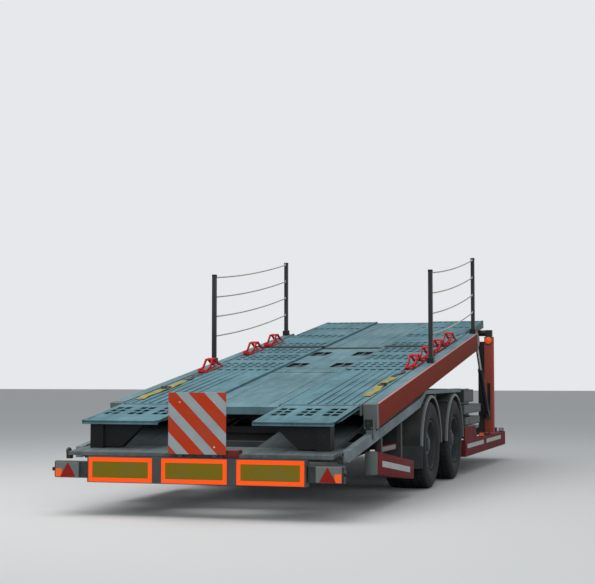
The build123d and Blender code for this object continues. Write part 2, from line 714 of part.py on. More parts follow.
# Air tanks, strapped up under the crossmembers of the slope
tanks = []
for s, half in cross_table[1:3]:
    under_cross = height_on(LOWER_LINE, s - CROSS_W / 2) - LOWER_TRACK_T - CROSS_SET - CROSS_D
    end = Plane.YZ.offset(-TANK_HALF_L) * Pos(s, under_cross - TANK_R) * RegularPolygon(TANK_R, SMALL_SIDES)
    tanks.append(extrude(end, amount=2 * TANK_HALF_L))
keep("air_tanks", *tanks)

# Lift columns, hollow, each with a slot in its back wall and a closed mast beside it
column_x = (HALF_WIDTH - COLUMN_W, HALF_WIDTH)
column_y = (COLUMN_S - COLUMN_L / 2, COLUMN_S + COLUMN_L / 2)
bore_x = (column_x[0] + COLUMN_WALL, column_x[1] - COLUMN_WALL)
bore_y = (column_y[0] + COLUMN_WALL, column_y[1] - COLUMN_WALL)
column_mid = sum(column_x) / 2
foot_half = FOOT_PLATE_T / 2
cyl_foot_s = COLUMN_S - CYL_FOOT_REACH
foot_h = (CYL_FOOT_H - FOOT_PLATE_H / 2, CYL_FOOT_H + FOOT_PLATE_H / 2)
column = block(column_x, column_y, (SILL_TOP, COLUMN_TOP))
column -= block(bore_x, bore_y, (SILL_TOP + COLUMN_FLOOR, COLUMN_TOP + 1))
column -= block((column_mid - foot_half - SLOT_SIDE_GAP, column_mid + foot_half + SLOT_SIDE_GAP),
                (column_y[0] - 1, bore_y[0] + 1),
                (foot_h[0] - SLOT_SIDE_GAP, foot_h[1] + LIFT_STROKE + SLOT_SIDE_GAP))
keep("lift_columns", *both(column))
mast = block((LOWER_TRACK_OUT + MAST_GAP, column_x[0]), (column_y[0] + MAST_INSET, column_y[1] - MAST_INSET),
             (FLOOR_H - LOWER_TRACK_T - CROSS_SET, COLUMN_TOP - MAST_DROP))
keep("lift_masts", *both(mast))
lamp_h = COLUMN_TOP - LAMP_BALL_R
column_lamp = block((column_x[0] + COLUMN_WALL, column_x[1] - COLUMN_WALL),
                    (column_y[0] - LAMP_BASE_T, column_y[0]), (lamp_h - LAMP_BALL_R, COLUMN_TOP))
column_lamp += rod_y(LAMP_BALL_R, column_y[0] - LAMP_BASE_T - LAMP_DEPTH, column_y[0] - LAMP_BASE_T,
                     column_mid, lamp_h)
keep("column_lamps", *both(column_lamp))

# Cross head: the inner posts, the pivot tube of the deck and the feet of the tilt cylinders
inner_x = (bore_x[0] + POST_GAP, bore_x[1] - POST_GAP)
inner_y = (bore_y[0] + POST_GAP, bore_y[1] - POST_GAP)
post = block(inner_x, inner_y, (SILL_TOP + POST_LIFT, PIVOT_H + HEAD_R))
foot_plate = block((column_mid - foot_half, column_mid + foot_half),
                   (cyl_foot_s - FORK_R, inner_y[0]), foot_h)
fork_out = foot_half + FORK_GAP + FORK_T
foot_pin = rod_x(PIN_R, column_mid - fork_out, column_mid + fork_out, cyl_foot_s, CYL_FOOT_H)
head = rod_x(HEAD_R, HEAD_INSET - HALF_WIDTH, HALF_WIDTH - HEAD_INSET, COLUMN_S, PIVOT_H)
for piece in both(post) + both(foot_plate) + both(foot_pin):
    head += piece
keep("cross_head", head)

# Upper deck side beams: a C section with a closing plate at its front end
beam = deck_block((HALF_WIDTH - BEAM_WEB, HALF_WIDTH), (DECK_BACK_S, BEAM_END_S), (DECK_LOW, DECK_TOP))
beam += deck_block((HALF_WIDTH - BEAM_FLANGE, HALF_WIDTH), (DECK_BACK_S, BEAM_END_S),
                   (DECK_TOP - FLANGE_T, DECK_TOP))
beam += deck_block((HALF_WIDTH - BEAM_LOWER_FLANGE, HALF_WIDTH), (DECK_BACK_S, BEAM_END_S),
                   (DECK_LOW, DECK_LOW + FLANGE_T))
beam += deck_block((HALF_WIDTH - BEAM_FLANGE, HALF_WIDTH), (BEAM_END_S - BEAM_WEB, BEAM_END_S),
                   (DECK_LOW, DECK_TOP))
keep("side_beams", *both(beam))

# Upper deck frame: inner beams, front edge beams and the crossmembers between them
edge_x = HALF_WIDTH - EDGE_BEAM_INSET
beam_web_x = HALF_WIDTH - BEAM_WEB
hinge_cross_s = (RAMP_HINGE_S + HINGE_REACH, RAMP_HINGE_S + HINGE_REACH + DECK_CROSS_W)
inner_beam = deck_block((INNER_BEAM_X, INNER_BEAM_X + DECK_BEAM_W), (hinge_cross_s[0], DECK_FRONT_S),
                        (DECK_UNDER - DECK_BEAM_D, DECK_UNDER))
edge_back = DECK_CROSS_S[-1] + DECK_CROSS_W / 2
edge_beam = deck_block((edge_x - DECK_BEAM_W, edge_x), (edge_back, DECK_FRONT_S),
                       (DECK_UNDER - DECK_BEAM_D, DECK_UNDER))
keep("deck_beams", *both(inner_beam), *both(edge_beam))
cross_runs = [hinge_cross_s, (DECK_FRONT_S - DECK_CROSS_W, DECK_FRONT_S)]
end_box_x = HALF_WIDTH - BEAM_FLANGE
cross_s = DECK_CROSS_S + [COLUMN_S - reach for reach in PIVOT_CROSSES]
cross_runs += [(s - DECK_CROSS_W / 2, s + DECK_CROSS_W / 2) for s in cross_s]
deck_cross = []
for run in cross_runs:
    out = beam_web_x if run[1] < BEAM_END_S else edge_x - DECK_BEAM_W
    if run == hinge_cross_s:
        out = end_box_x
    height = (DECK_UNDER - DECK_CROSS_D, DECK_UNDER)
    deck_cross += both(deck_block((INNER_BEAM_X + DECK_BEAM_W, out), run, height))
    deck_cross.append(deck_block((-INNER_BEAM_X, INNER_BEAM_X), run, height))
keep("deck_crossmembers", *deck_cross)

# Deck brackets: pivot lugs, cheeks for the tilt cylinders and cheeks of the ramp hinges
ramp_x = (TRACK_IN + RAMP_IN_GAP, HALF_WIDTH - RAMP_OUT_INSET)
hinge_g = DECK_TOP - HINGE_R
brackets = []
for x in (INNER_BEAM_X + DECK_BEAM_W, edge_x - DECK_BEAM_W - LUG_T):
    lug = rod_x(LUG_R, x, x + LUG_T, 0, 0) + block((x, x + LUG_T), (-LUG_R, LUG_R), (0, DECK_UNDER))
    lug -= rod_x(HEAD_R + LUG_GAP, x - 1, x + LUG_T + 1, 0, 0)
    brackets += both(DECK * lug)
cheek_out = EYE_W / 2 + CHEEK_GAP
for x in (column_mid - cheek_out - CHEEK_T, column_mid + cheek_out):
    back, front = along(BEAM_END_S), along(BEAM_END_S) + CHEEK_L
    cheek = prism([(back, DECK_LOW), (back + CHEEK_L / 2, DECK_LOW), (front, CYL_EYE_G - EYE_R),
                   (front, CYL_EYE_G + EYE_R), (back + CHEEK_L / 2, DECK_TOP), (back, DECK_TOP)],
                  x, x + CHEEK_T)
    brackets += both(DECK * cheek)
cheek_f = (along(RAMP_HINGE_S) - HINGE_R, along(hinge_cross_s[0]))
for x in (ramp_x[0] - RAMP_CHEEK_T - RAMP_CHEEK_GAP, ramp_x[1] + RAMP_CHEEK_GAP):
    if x < end_box_x - RAMP_CHEEK_T:
        cheek = block((x, x + RAMP_CHEEK_T), cheek_f, (DECK_UNDER - DECK_CROSS_D, DECK_TOP))
        brackets += both(DECK * cheek)
keep("deck_brackets", *brackets)

# End boxes on the rear ends of the side beams, with guide plates that reach down past the rails
guide_x = (RAIL_IN + RAIL_W + GUIDE_GAP, RAIL_IN + RAIL_W + GUIDE_GAP + GUIDE_T)
end_box = deck_block((end_box_x, HALF_WIDTH), (DECK_BACK_S - END_BOX_L, DECK_BACK_S),
                     (DECK_LOW, DECK_TOP))
end_box += block(guide_x, (DECK_BACK_S - END_BOX_L, DECK_BACK_S - GUIDE_T),
                 (GUIDE_BOTTOM, deck_height(DECK_BACK_S - END_BOX_L, BEAM_D / 2)))
keep("deck_end_boxes", *both(end_box))

# Upper deck track plates and centre plates
deck_tracks = []
for section in TRACK_SECTIONS:
    out = HALF_WIDTH - BEAM_FLANGE - TRACK_FLANGE_GAP if section[1] < BEAM_END_S else edge_x
    deck_tracks += both(deck_tray((TRACK_IN, out), section))
keep("deck_tracks", *deck_tracks)
centre_x = (TRACK_GAP - TRACK_IN, TRACK_IN - TRACK_GAP)
centre_plates = []
for section in CENTRE_SECTIONS:
    centre_plates.append(deck_block(centre_x, section, (DECK_UNDER, DECK_UNDER + CENTRE_T)))
rear_lip = (CENTRE_SECTIONS[0][0], CENTRE_SECTIONS[0][0] + CENTRE_T)
centre_plates[0] += deck_block(centre_x, rear_lip, (DECK_UNDER - CENTRE_LIP, DECK_UNDER))
keep("centre_plates", *centre_plates)

# Rear ramps: a plate with rows of holes on ribs, with a round hinge bar along its front edge
ramp_f = (along(RAMP_HINGE_S) - RAMP_LENGTH, along(RAMP_HINGE_S) - HINGE_R + HINGE_GAP)


def ramp_outline(depth):
    tip = min(depth, RAMP_TIP_T)
    return [(ramp_f[0], DECK_TOP - tip), (ramp_f[0] + RAMP_TAPER_L, DECK_TOP - depth),
            (ramp_f[1], DECK_TOP - depth), (ramp_f[1], DECK_TOP), (ramp_f[0], DECK_TOP)]


ramp = prism(ramp_outline(RAMP_PLATE_T), *ramp_x)
rib_pitch = (ramp_x[1] - ramp_x[0] - RAMP_RIB_W) / (RAMP_RIBS - 1)
for count in range(RAMP_RIBS):
    rib_x = ramp_x[0] + count * rib_pitch
    ramp += prism(ramp_outline(RAMP_T), rib_x, rib_x + RAMP_RIB_W)
    if count < RAMP_RIBS - 1:
        bay_mid = rib_x + (rib_pitch + RAMP_RIB_W) / 2
        for x in (bay_mid - HOLE_PITCH / 2, bay_mid + HOLE_PITCH / 2):
            for row in HOLE_ROWS:
                ramp -= block((x - HOLE_W / 2, x + HOLE_W / 2), (ramp_f[0] + row, ramp_f[0] + row + HOLE_L),
                              (DECK_TOP - RAMP_PLATE_T - 1, DECK_TOP + 1))
ramp += rod_x(HINGE_R, *ramp_x, along(RAMP_HINGE_S), hinge_g)
ramp = DECK * ramp
keep("ramp_right", ramp)
keep("ramp_left", other_side(ramp))

# Safety posts in their sockets, and the ropes between them
post_x = HALF_WIDTH - POST_X_INSET
safety_posts = []
for s, top in SAFETY_POSTS:
    socket = deck_block((post_x - SOCKET_SIDE / 2, post_x + SOCKET_SIDE / 2),
                        (s - SOCKET_SIDE / 2, s + SOCKET_SIDE / 2), (DECK_TOP, DECK_TOP + SOCKET_H))
    socket += block((post_x - POST_SIDE / 2, post_x + POST_SIDE / 2), (s - POST_SIDE / 2, s + POST_SIDE / 2),
                    (deck_height(s) + SOCKET_H / 2, top))
    safety_posts += both(socket)
keep("safety_posts", *safety_posts)
ropes = []
(back_s, back_top), (front_s, front_top) = SAFETY_POSTS
for count in range(ROPE_COUNT):
    drop = ROPE_DROP + count * ROPE_PITCH
    start = Vector(post_x, back_s + POST_SIDE / 2 + ROPE_GAP, back_top - drop)
    stop = Vector(post_x, front_s - POST_SIDE / 2 - ROPE_GAP, front_top - drop)
    middle = (start + stop) * 0.5 - Vector(0, 0, ROPE_SAG)
    for low, high in ((start, middle), (middle, stop)):
        run = high - low
        length = run.length - ROPE_END_GAP
        strand = extrude(RegularPolygon(ROPE_R, ROPE_SIDES), amount=length)
        ropes += both(Plane(origin=low, z_dir=run) * strand)
keep("safety_ropes", *ropes)

# Wheel stops on the track plates, beside the side beams
stops = []
stop_x = HALF_WIDTH - BEAM_FLANGE - TRACK_FLANGE_GAP - STOP_W / 2
stop_run = (stop_x - STOP_W / 2, stop_x + STOP_W / 2)
for side, s in WHEEL_STOPS:
    back, front = along(s), along(s) + STOP_L
    stop_low, stop_top = DECK_TOP, DECK_TOP + STOP_H
    chock = block(stop_run, (back, front), (stop_low, stop_low + STOP_BASE_T))
    for x in (stop_x - STOP_W / 2, stop_x + STOP_W / 2 - STOP_CHEEK_T):
        chock += prism([(back, stop_low), (front, stop_low), (front - STOP_H, stop_top),
                        (back + 2 * STOP_H, stop_top)], x, x + STOP_CHEEK_T)
    chock += block(stop_run, (back + 2 * STOP_H, back + 2 * STOP_H + STOP_BAR),
                   (stop_top - STOP_BAR, stop_top))
    chock = DECK * chock
    stops.append(chock if side > 0 else other_side(chock))
keep("wheel_stops", *stops)

# Tie straps, laid flat along the edges of the tracks
straps = []
for side, s in STRAPS:
    strap = deck_block((stop_x - STRAP_W / 2, stop_x + STRAP_W / 2), (s, s + STRAP_L),
                       (DECK_TOP, DECK_TOP + STRAP_T))
    straps.append(strap if side > 0 else other_side(strap))
keep("tie_straps", *straps)

# Tilt cylinders: a barrel with a forked foot, and a rod with its eye and pin
eye_f = along(BEAM_END_S + CYL_EYE_REACH)
eye_s = COLUMN_S + eye_f * cos(SLOPE) - CYL_EYE_G * sin(SLOPE)
eye_h = PIVOT_H + eye_f * sin(SLOPE) + CYL_EYE_G * cos(SLOPE)
reach = hypot(cyl_foot_s - eye_s, eye_h - CYL_FOOT_H)
lean = degrees(atan2(eye_h - CYL_FOOT_H, eye_s - cyl_foot_s))
CYLINDER = Location((column_mid, cyl_foot_s, CYL_FOOT_H), (lean, 0, 0))
fork_in = foot_half + FORK_GAP
barrel = rod_y(BARREL_R, BARREL_BACK, BARREL_L, 0, 0)
barrel += block((-fork_out, fork_out), (-FORK_R, BARREL_BACK + FORK_T), (-FORK_R, FORK_R))
barrel -= block((-fork_in, fork_in), (-FORK_R - 1, BARREL_BACK), (-FORK_R - 1, FORK_R + 1))
barrel -= rod_x(PIN_R + PIN_GAP, -fork_out - 1, fork_out + 1, 0, 0)
barrel -= rod_y(ROD_R + ROD_GAP, ROD_BACK - ROD_R, BARREL_L + 1, 0, 0)
rod = rod_y(ROD_R, ROD_BACK, reach - EYE_R / 2, 0, 0)
rod += rod_x(EYE_R, -EYE_W / 2, EYE_W / 2, reach, 0)
for side_name, pieces in (("right", [CYLINDER * barrel, CYLINDER * rod]),
                          ("left", [other_side(CYLINDER * barrel), other_side(CYLINDER * rod)])):
    keep(f"tilt_cylinder_{side_name}", pieces[0])
    keep(f"tilt_rod_{side_name}", pieces[1])

# Drawbar: a low middle beam with a tapered neck and two struts to the front crossmember
bar_top = BAR_BOTTOM + BAR_H
tow_s = BODY_LENGTH + EYE_REACH
neck_back = tow_s - BAR_NECK
cross_low = FLOOR_H - LOWER_TRACK_T - CROSS_SET - CROSS_D
bar = block((-BAR_W / 2, BAR_W / 2), (BODY_LENGTH - BAR_TAIL, BODY_LENGTH), (BAR_BOTTOM, cross_low))
bar += block((-BAR_W / 2, BAR_W / 2), (BODY_LENGTH, neck_back), (BAR_BOTTOM, bar_top))
bar += prism([(neck_back, BAR_BOTTOM), (neck_back, bar_top), (tow_s - EYE_SHANK, EYE_H + NECK_HALF_H),
              (tow_s - EYE_SHANK, EYE_H - NECK_HALF_H)], -NECK_HALF_W, NECK_HALF_W)
strut_back, strut_front = BODY_LENGTH - STRUT_BACK, BODY_LENGTH + STRUT_REACH
strut_out = FRAME_BEAM_X - half_flange
strut = make_face(Polyline((strut_out - STRUT_W, strut_back), (strut_out, strut_back),
                           (strut_out, BODY_LENGTH), (0, strut_front), (0, strut_front - STRUT_W), close=True))
strut = extrude(Plane.XY.offset(BAR_BOTTOM) * strut, amount=cross_low - BAR_BOTTOM)
keep("drawbar", bar + strut + other_side(strut))

# Towing eye on its shank
eye = Pos(0, tow_s, EYE_H) * Cylinder(EYE_OUTER_R, EYE_T)
eye += block((-EYE_SHANK_W / 2, EYE_SHANK_W / 2), (tow_s - EYE_SHANK, tow_s - EYE_BORE_R - PLATE_T),
             (EYE_H - EYE_T / 2, EYE_H + EYE_T / 2))
eye -= Pos(0, tow_s, EYE_H) * Cylinder(EYE_BORE_R, EYE_T + 2)
keep("towing_eye", eye)

# Service panel for the air and electric lines
panel_s = BODY_LENGTH + PANEL_REACH
panel = block((-PANEL_HALF_W, PANEL_HALF_W), (panel_s, panel_s + PANEL_T), (bar_top, bar_top + PANEL_H))
panel += block((-BAR_W / 4, BAR_W / 4), (panel_s, panel_s + PANEL_FOOT_L), (bar_top, bar_top + PANEL_T))
keep("service_panel", panel)

# Jack: a tube beside the drawbar, with its gearbox and crank, and the leg inside it
jack_s = BODY_LENGTH + JACK_REACH
tube_half = JACK_TUBE_W / 2
jack_x = BAR_W / 2 + tube_half + JACK_TUBE_W / 2
tube_x = (jack_x - tube_half, jack_x + tube_half)
tube_y = (jack_s - tube_half, jack_s + tube_half)
jack_tube = block(tube_x, tube_y, (JACK_TUBE_BOTTOM, JACK_TUBE_TOP))
jack_tube -= block((tube_x[0] + JACK_WALL, tube_x[1] - JACK_WALL),
                   (tube_y[0] + JACK_WALL, tube_y[1] - JACK_WALL),
                   (JACK_TUBE_BOTTOM - 1, JACK_TUBE_TOP - JACK_WALL))
jack_tube += block((BAR_W / 2, tube_x[0]), (jack_s - JACK_ARM_L / 2, jack_s + JACK_ARM_L / 2),
                   (BAR_BOTTOM + PANEL_T, bar_top))
gear_h = (JACK_TUBE_TOP - GEARBOX_H - JACK_WALL, JACK_TUBE_TOP - JACK_WALL)
jack_tube += block((tube_x[1], tube_x[1] + GEARBOX_W),
                   (jack_s - GEARBOX_W / 2, jack_s + GEARBOX_W / 2), gear_h)
crank_x = (tube_x[1] + GEARBOX_W, tube_x[1] + GEARBOX_W + CRANK_W)
crank_h = (gear_h[1] - CRANK_L - GEARBOX_W, gear_h[1])
jack_tube += block(crank_x, (jack_s - CRANK_W / 2, jack_s + CRANK_W / 2), crank_h)
keep("jack_tube", jack_tube)
leg_half = tube_half - JACK_WALL - JACK_GAP
leg = block((jack_x - leg_half, jack_x + leg_half), (jack_s - leg_half, jack_s + leg_half),
            (JACK_FOOT_T, JACK_LEG_TOP))
leg += Pos(jack_x, jack_s, JACK_FOOT_T / 2) * Cylinder(JACK_FOOT_R, JACK_FOOT_T)
keep("jack_leg", leg)

os.makedirs("parts", exist_ok=True)
for name, shape in NODES.items():
    export_step(shape, f"parts/{name}.step")
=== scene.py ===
# The looks of a close-tandem car transporter trailer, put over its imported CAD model.
# Metres. The trailer's own measures run to its right, forward from its rear face and up.
import json
from math import asin, atan2, cos, hypot, pi, radians, sin

import bmesh
import bpy
from mathutils import Matrix, Vector


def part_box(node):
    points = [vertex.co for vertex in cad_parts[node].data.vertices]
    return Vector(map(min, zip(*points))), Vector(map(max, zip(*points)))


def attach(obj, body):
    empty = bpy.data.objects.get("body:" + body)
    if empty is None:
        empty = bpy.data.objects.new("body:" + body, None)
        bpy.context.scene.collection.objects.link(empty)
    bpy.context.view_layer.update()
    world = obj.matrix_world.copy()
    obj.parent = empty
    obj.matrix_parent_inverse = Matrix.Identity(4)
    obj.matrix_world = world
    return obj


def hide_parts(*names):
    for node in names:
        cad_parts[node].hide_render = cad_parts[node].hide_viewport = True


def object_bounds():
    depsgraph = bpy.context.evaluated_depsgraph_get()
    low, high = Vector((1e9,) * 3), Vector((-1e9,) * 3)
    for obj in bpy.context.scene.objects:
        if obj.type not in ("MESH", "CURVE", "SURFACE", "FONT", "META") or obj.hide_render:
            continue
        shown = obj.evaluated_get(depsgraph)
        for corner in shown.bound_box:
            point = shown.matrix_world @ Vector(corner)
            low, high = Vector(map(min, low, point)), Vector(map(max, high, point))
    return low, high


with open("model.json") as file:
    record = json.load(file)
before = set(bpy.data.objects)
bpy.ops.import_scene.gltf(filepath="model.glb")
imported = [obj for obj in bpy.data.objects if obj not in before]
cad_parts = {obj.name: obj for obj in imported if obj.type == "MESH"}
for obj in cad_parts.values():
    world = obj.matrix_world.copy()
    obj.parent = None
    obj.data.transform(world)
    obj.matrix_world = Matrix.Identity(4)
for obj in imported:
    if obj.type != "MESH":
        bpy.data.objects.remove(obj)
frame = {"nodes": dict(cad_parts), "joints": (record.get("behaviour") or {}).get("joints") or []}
cad_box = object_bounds()

# Main frame: two bent I beams with crossmembers between and outside them, welded from
# rolled plate. Chassis paint in dark grey, dulled by dust and by spray off the road.
REAR_Y = cad_box[1].y
TRAILER = Matrix.Translation((0, REAR_Y, 0)) @ Matrix.Rotation(pi, 4, "Z")
ROAD_DUST = (0.12, 0.118, 0.108)


class Reading:
    """A number that changes over a surface, on which sums are written as plain Python."""

    def __init__(self, coat, socket):
        self.coat, self.socket = coat, socket

    def sum_of(self, operation, first, second):
        return self.coat.node("ShaderNodeMath", {"operation": operation}, {0: first, 1: second})

    def __add__(self, other):
        return self.sum_of("ADD", self, other)

    def __radd__(self, other):
        return self.sum_of("ADD", other, self)

    def __sub__(self, other):
        return self.sum_of("SUBTRACT", self, other)

    def __rsub__(self, other):
        return self.sum_of("SUBTRACT", other, self)

    def __mul__(self, other):
        return self.sum_of("MULTIPLY", self, other)

    def __rmul__(self, other):
        return self.sum_of("MULTIPLY", other, self)

    def __truediv__(self, other):
        return self.sum_of("DIVIDE", self, other)

    def fraction(self):
        return self.sum_of("FRACT", self, 0)

    def between(self, low, high):
        """0 where the number is at or under low, 1 where it is at or over high."""
        return self.coat.node("ShaderNodeMapRange", {}, {"Value": self, "From Min": low, "From Max": high})


class Coat:
    """The layers of one finish, from the place on the piece to what its shader shows."""

    def __init__(self, owner):
        owner.use_nodes = True
        self.owner, self.tree = owner, owner.node_tree

    def fill(self, node, values):
        """Gives a node's sockets their values or links."""
        for socket, value in values.items():
            if isinstance(value, Reading):
                self.tree.links.new(value.socket, node.inputs[socket])
            else:
                node.inputs[socket].default_value = value

    def node(self, kind, settings, values, output=0):
        """One node of any kind: its settings first, then the values or links of its sockets."""
        made = self.tree.nodes.new(kind)
        for name, setting in settings.items():
            setattr(made, name, setting)
        self.fill(made, values)
        return Reading(self, made.outputs[output])

    def place(self):
        return self.node("ShaderNodeTexCoord", {}, {}, "Object")

    def axis(self, vector, name):
        return self.node("ShaderNodeSeparateXYZ", {}, {0: vector}, name)

    def facing_up(self):
        """1 on a face that looks up, 0 on an upright one and -1 underneath."""
        return self.axis(self.node("ShaderNodeTexCoord", {}, {}, "Normal"), "Z")

    def grain(self, scale, detail=3, stretch=(1, 1, 1)):
        stretched = self.node("ShaderNodeMapping", {}, {"Vector": self.place(), "Scale": stretch})
        return self.node("ShaderNodeTexNoise", {}, {"Vector": stretched, "Scale": scale, "Detail": detail})

    def cells(self, scale):
        """Small flat cells, each with its own number from 0 to 1."""
        cell = self.node("ShaderNodeTexVoronoi", {}, {"Vector": self.place(), "Scale": scale}, "Color")
        return self.axis(cell, "X")

    def mixed(self, share, first, second):
        """The first colour where share is 0 and the second where it is 1."""
        ends = [end if isinstance(end, Reading) else (*end, 1) for end in (first, second)]
        return self.node("ShaderNodeMix", {"data_type": "RGBA"}, {0: share, 6: ends[0], 7: ends[1]}, 2)

    def show(self, colour, roughness, relief=None, depth=0.001, metallic=0.0, specular=0.5, glow=None):
        """Joins the finished layers to the shader. A glow is a colour and its strength."""
        layers = {"Base Color": colour, "Roughness": roughness, "Metallic": metallic,
                  "Specular IOR Level": specular}
        if relief:
            layers["Normal"] = self.node("ShaderNodeBump", {}, {"Height": relief, "Distance": depth},
                                         "Normal")
        if glow:
            layers["Emission Color"], layers["Emission Strength"] = (*glow[0], 1), glow[1]
        self.fill(self.tree.nodes["Principled BSDF"], layers)
        return self.owner


def new_coat(name):
    """The bare layers of a new finish."""
    return Coat(bpy.data.materials.new(name))


def shaded(colour, share, lift=0.0):
    """A colour made darker or paler."""
    return [min(1, part * share + lift) for part in colour]


def chassis_paint(name, colour, dust, roughness):
    """Brushed or sprayed paint: cloudy, dusty on top, splashed low down, chipped to dark primer."""
    coat = new_coat(name)
    cloud, fine = coat.grain(1.7, 5), coat.grain(38, 4)
    splash = coat.axis(coat.place(), "Z").between(1.1, 0.15) * coat.grain(9, 5)
    dusty = ((coat.facing_up() * 0.55 + cloud * 0.9) * dust + splash * dust * 1.4).between(0.18, 1.15)
    chips = (fine * 0.6 + cloud * 0.4).between(0.66, 0.69)
    shade = coat.mixed(cloud.between(0.3, 0.75), shaded(colour, 0.8), colour)
    worn = coat.mixed(chips * 0.55, shade, (0.05, 0.045, 0.04))
    return coat.show(coat.mixed(dusty, worn, ROAD_DUST), dusty * 0.35 + fine * 0.12 + roughness, fine, 0.0006,
                     specular=0.25)


def dress(coat, *nodes):
    """Gives CAD nodes that are shown as they are their finish."""
    for name in nodes:
        materials = frame["nodes"][name].data.materials
        materials.clear()
        materials.append(coat)


dark_steel = chassis_paint("dark_steel", (0.045, 0.058, 0.066), 0.5, 0.42)
dress(dark_steel, "frame_beams", "crossmembers")

# Axles and trailing arms: square axle tubes with spindles and brake calipers, and fabricated
# arms that swing from hangers under the frame. Black paint, dusty and oily from the road.
black_steel = chassis_paint("black_steel", (0.018, 0.019, 0.021), 0.5, 0.40)
dress(black_steel, "axles", "suspension_arms")

# Air springs: rubber bellows with two swollen folds, clamped between round steel plates, one
# behind each axle end. Moulded black rubber that stands on the arms.
BELLOWS_WAIST = 0.082
BELLOWS_STEPS = 32
SWELL = 0.006
PLATE_RIM = 0.004
PLATE_T = 0.010
# shares of a fold's half height at which its crest ends and its waist begins
CREST_SHARE, WAIST_SHARE = 0.6, 0.95
# what lies nearer than this counts as one place
TOUCH = 1e-5


def span(node):
    """A CAD node's limits to the trailer's right, forward and up."""
    low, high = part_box(node)
    return (-high.x, -low.x), (REAR_Y - high.y, REAR_Y - low.y), (low.z, high.z)


def at(place, turn=0, axis="X"):
    """A move to a place, after a turn in degrees about one axis."""
    return Matrix.Translation(place) @ Matrix.Rotation(radians(turn), 4, axis)


def turn_onto(work, faces, move):
    """Moves freshly made faces into place."""
    bmesh.ops.transform(work, matrix=move, verts=list({vert for face in faces for vert in face.verts}))


def finished(work, old, coat, move=None):
    """Gives the faces that are new in a mesh their finish and their place, and returns them."""
    made = [face for face in work.faces if face not in old]
    for face in made:
        face.material_index = coat
    if move is not None:
        turn_onto(work, made, move)
    work.normal_update()
    bmesh.ops.recalc_face_normals(work, faces=made)
    return made


def spun(work, outline, steps, coat=0, move=None):
    """Turns an outline of (x, radius) points about the x axis and moves it into place.

    An outline that starts on the axis ends there, and any other is closed.
    """
    old = set(work.faces)
    corners = [work.verts.new((x, radius, 0)) for x, radius in outline]
    rest = corners[1:] + corners[:1] if outline[0][1] else corners[1:]
    ring = corners + [work.edges.new(pair) for pair in zip(corners, rest)]
    bmesh.ops.spin(work, geom=ring, cent=(0, 0, 0), axis=(1, 0, 0), angle=2 * pi, steps=steps,
                   use_merge=True, use_duplicate=False)
    made = {vert for face in work.faces if face not in old for vert in face.verts}
    bmesh.ops.remove_doubles(work, verts=list(made), dist=TOUCH)
    return finished(work, old, coat, move)


def to_both_sides(work):
    """Repeats all that is drawn on the right side on the left."""
    bmesh.ops.mirror(work, geom=work.verts[:] + work.edges[:] + work.faces[:], axis="X", merge_dist=0)


def settle(name, work, coats, slot, stands_for=(), smooth=0, place=TRAILER, body="chassis"):
    """Puts a finished piece in place, on the part of the trailer that carries it.

    A smooth angle, in degrees, rounds what bends less and leaves sharper edges crisp.
    """
    bmesh.ops.transform(work, matrix=place, verts=work.verts)
    bmesh.ops.recalc_face_normals(work, faces=work.faces)
    mesh = bpy.data.meshes.new(name)
    work.to_mesh(mesh)
    work.free()
    for coat in coats:
        mesh.materials.append(coat)
    if smooth:
        mesh.shade_smooth()
        mesh.set_sharp_from_angle(angle=radians(smooth))
    piece = bpy.data.objects.new(name, mesh)
    bpy.context.scene.collection.objects.link(piece)
    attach(piece, body)
    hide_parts(*stands_for)


def rubber_coat(name, colour, dust):
    """Rubber gone dull: greyer where dust lies, with a fine moulded grain."""
    coat = new_coat(name)
    cloud, fine = coat.grain(4, 5), coat.grain(120, 3)
    dusty = (cloud * 0.8 + fine * 0.4 + coat.facing_up() * 0.15).between(0.45, 1.05) * dust
    return coat.show(coat.mixed(dusty, colour, ROAD_DUST), dusty * 0.15 + 0.72, fine, 0.0005, specular=0.2)


rubber = rubber_coat("rubber", (0.010, 0.011, 0.012), 0.3)
wheel_r = span("tyres_rear_right")[2][1] / 2
axle_gap = span("tyres_front_right")[1][0] - span("tyres_rear_right")[1][0]
spring_right, spring_run, spring_up = span("air_springs")
spring_r = (spring_run[1] - spring_run[0] - axle_gap) / 2
spring_h = spring_up[1] - spring_up[0]
fold = spring_h / 4
bellows = [(0, 0), (0, spring_r - PLATE_RIM), (PLATE_T, spring_r - PLATE_RIM),
           (PLATE_T + 0.002, BELLOWS_WAIST)]
for middle in (fold, 3 * fold):
    bellows += [(middle - CREST_SHARE * fold, spring_r - SWELL), (middle, spring_r),
                (middle + CREST_SHARE * fold, spring_r - SWELL),
                (middle + WAIST_SHARE * fold, BELLOWS_WAIST)]
bellows += [(spring_h, BELLOWS_WAIST), (spring_h, 0)]
springs = bmesh.new()
for ahead in (0, axle_gap):
    spun(springs, bellows, BELLOWS_STEPS,
         move=at((spring_right[1] - spring_r, spring_run[0] + spring_r + ahead, spring_up[0]), -90, "Y"))
to_both_sides(springs)
settle("bellows", springs, [rubber], "rubber", ["air_springs"], smooth=50)

# Air tanks: two welded steel drums for the brakes, strapped crosswise under the frame.
# Black paint, with a steel band round each end.
TANK_R = 0.11
BAND_INSET = 0.12
BAND_W = 0.03
BAND_T = 0.003


def about(middle, width):
    """The limits of a width that is centred on a place."""
    return middle - width / 2, middle + width / 2


def within(limits, first, last=None):
    """Two limits, drawn in by as much at both ends or by two measures."""
    return limits[0] + first, limits[1] - (first if last is None else last)


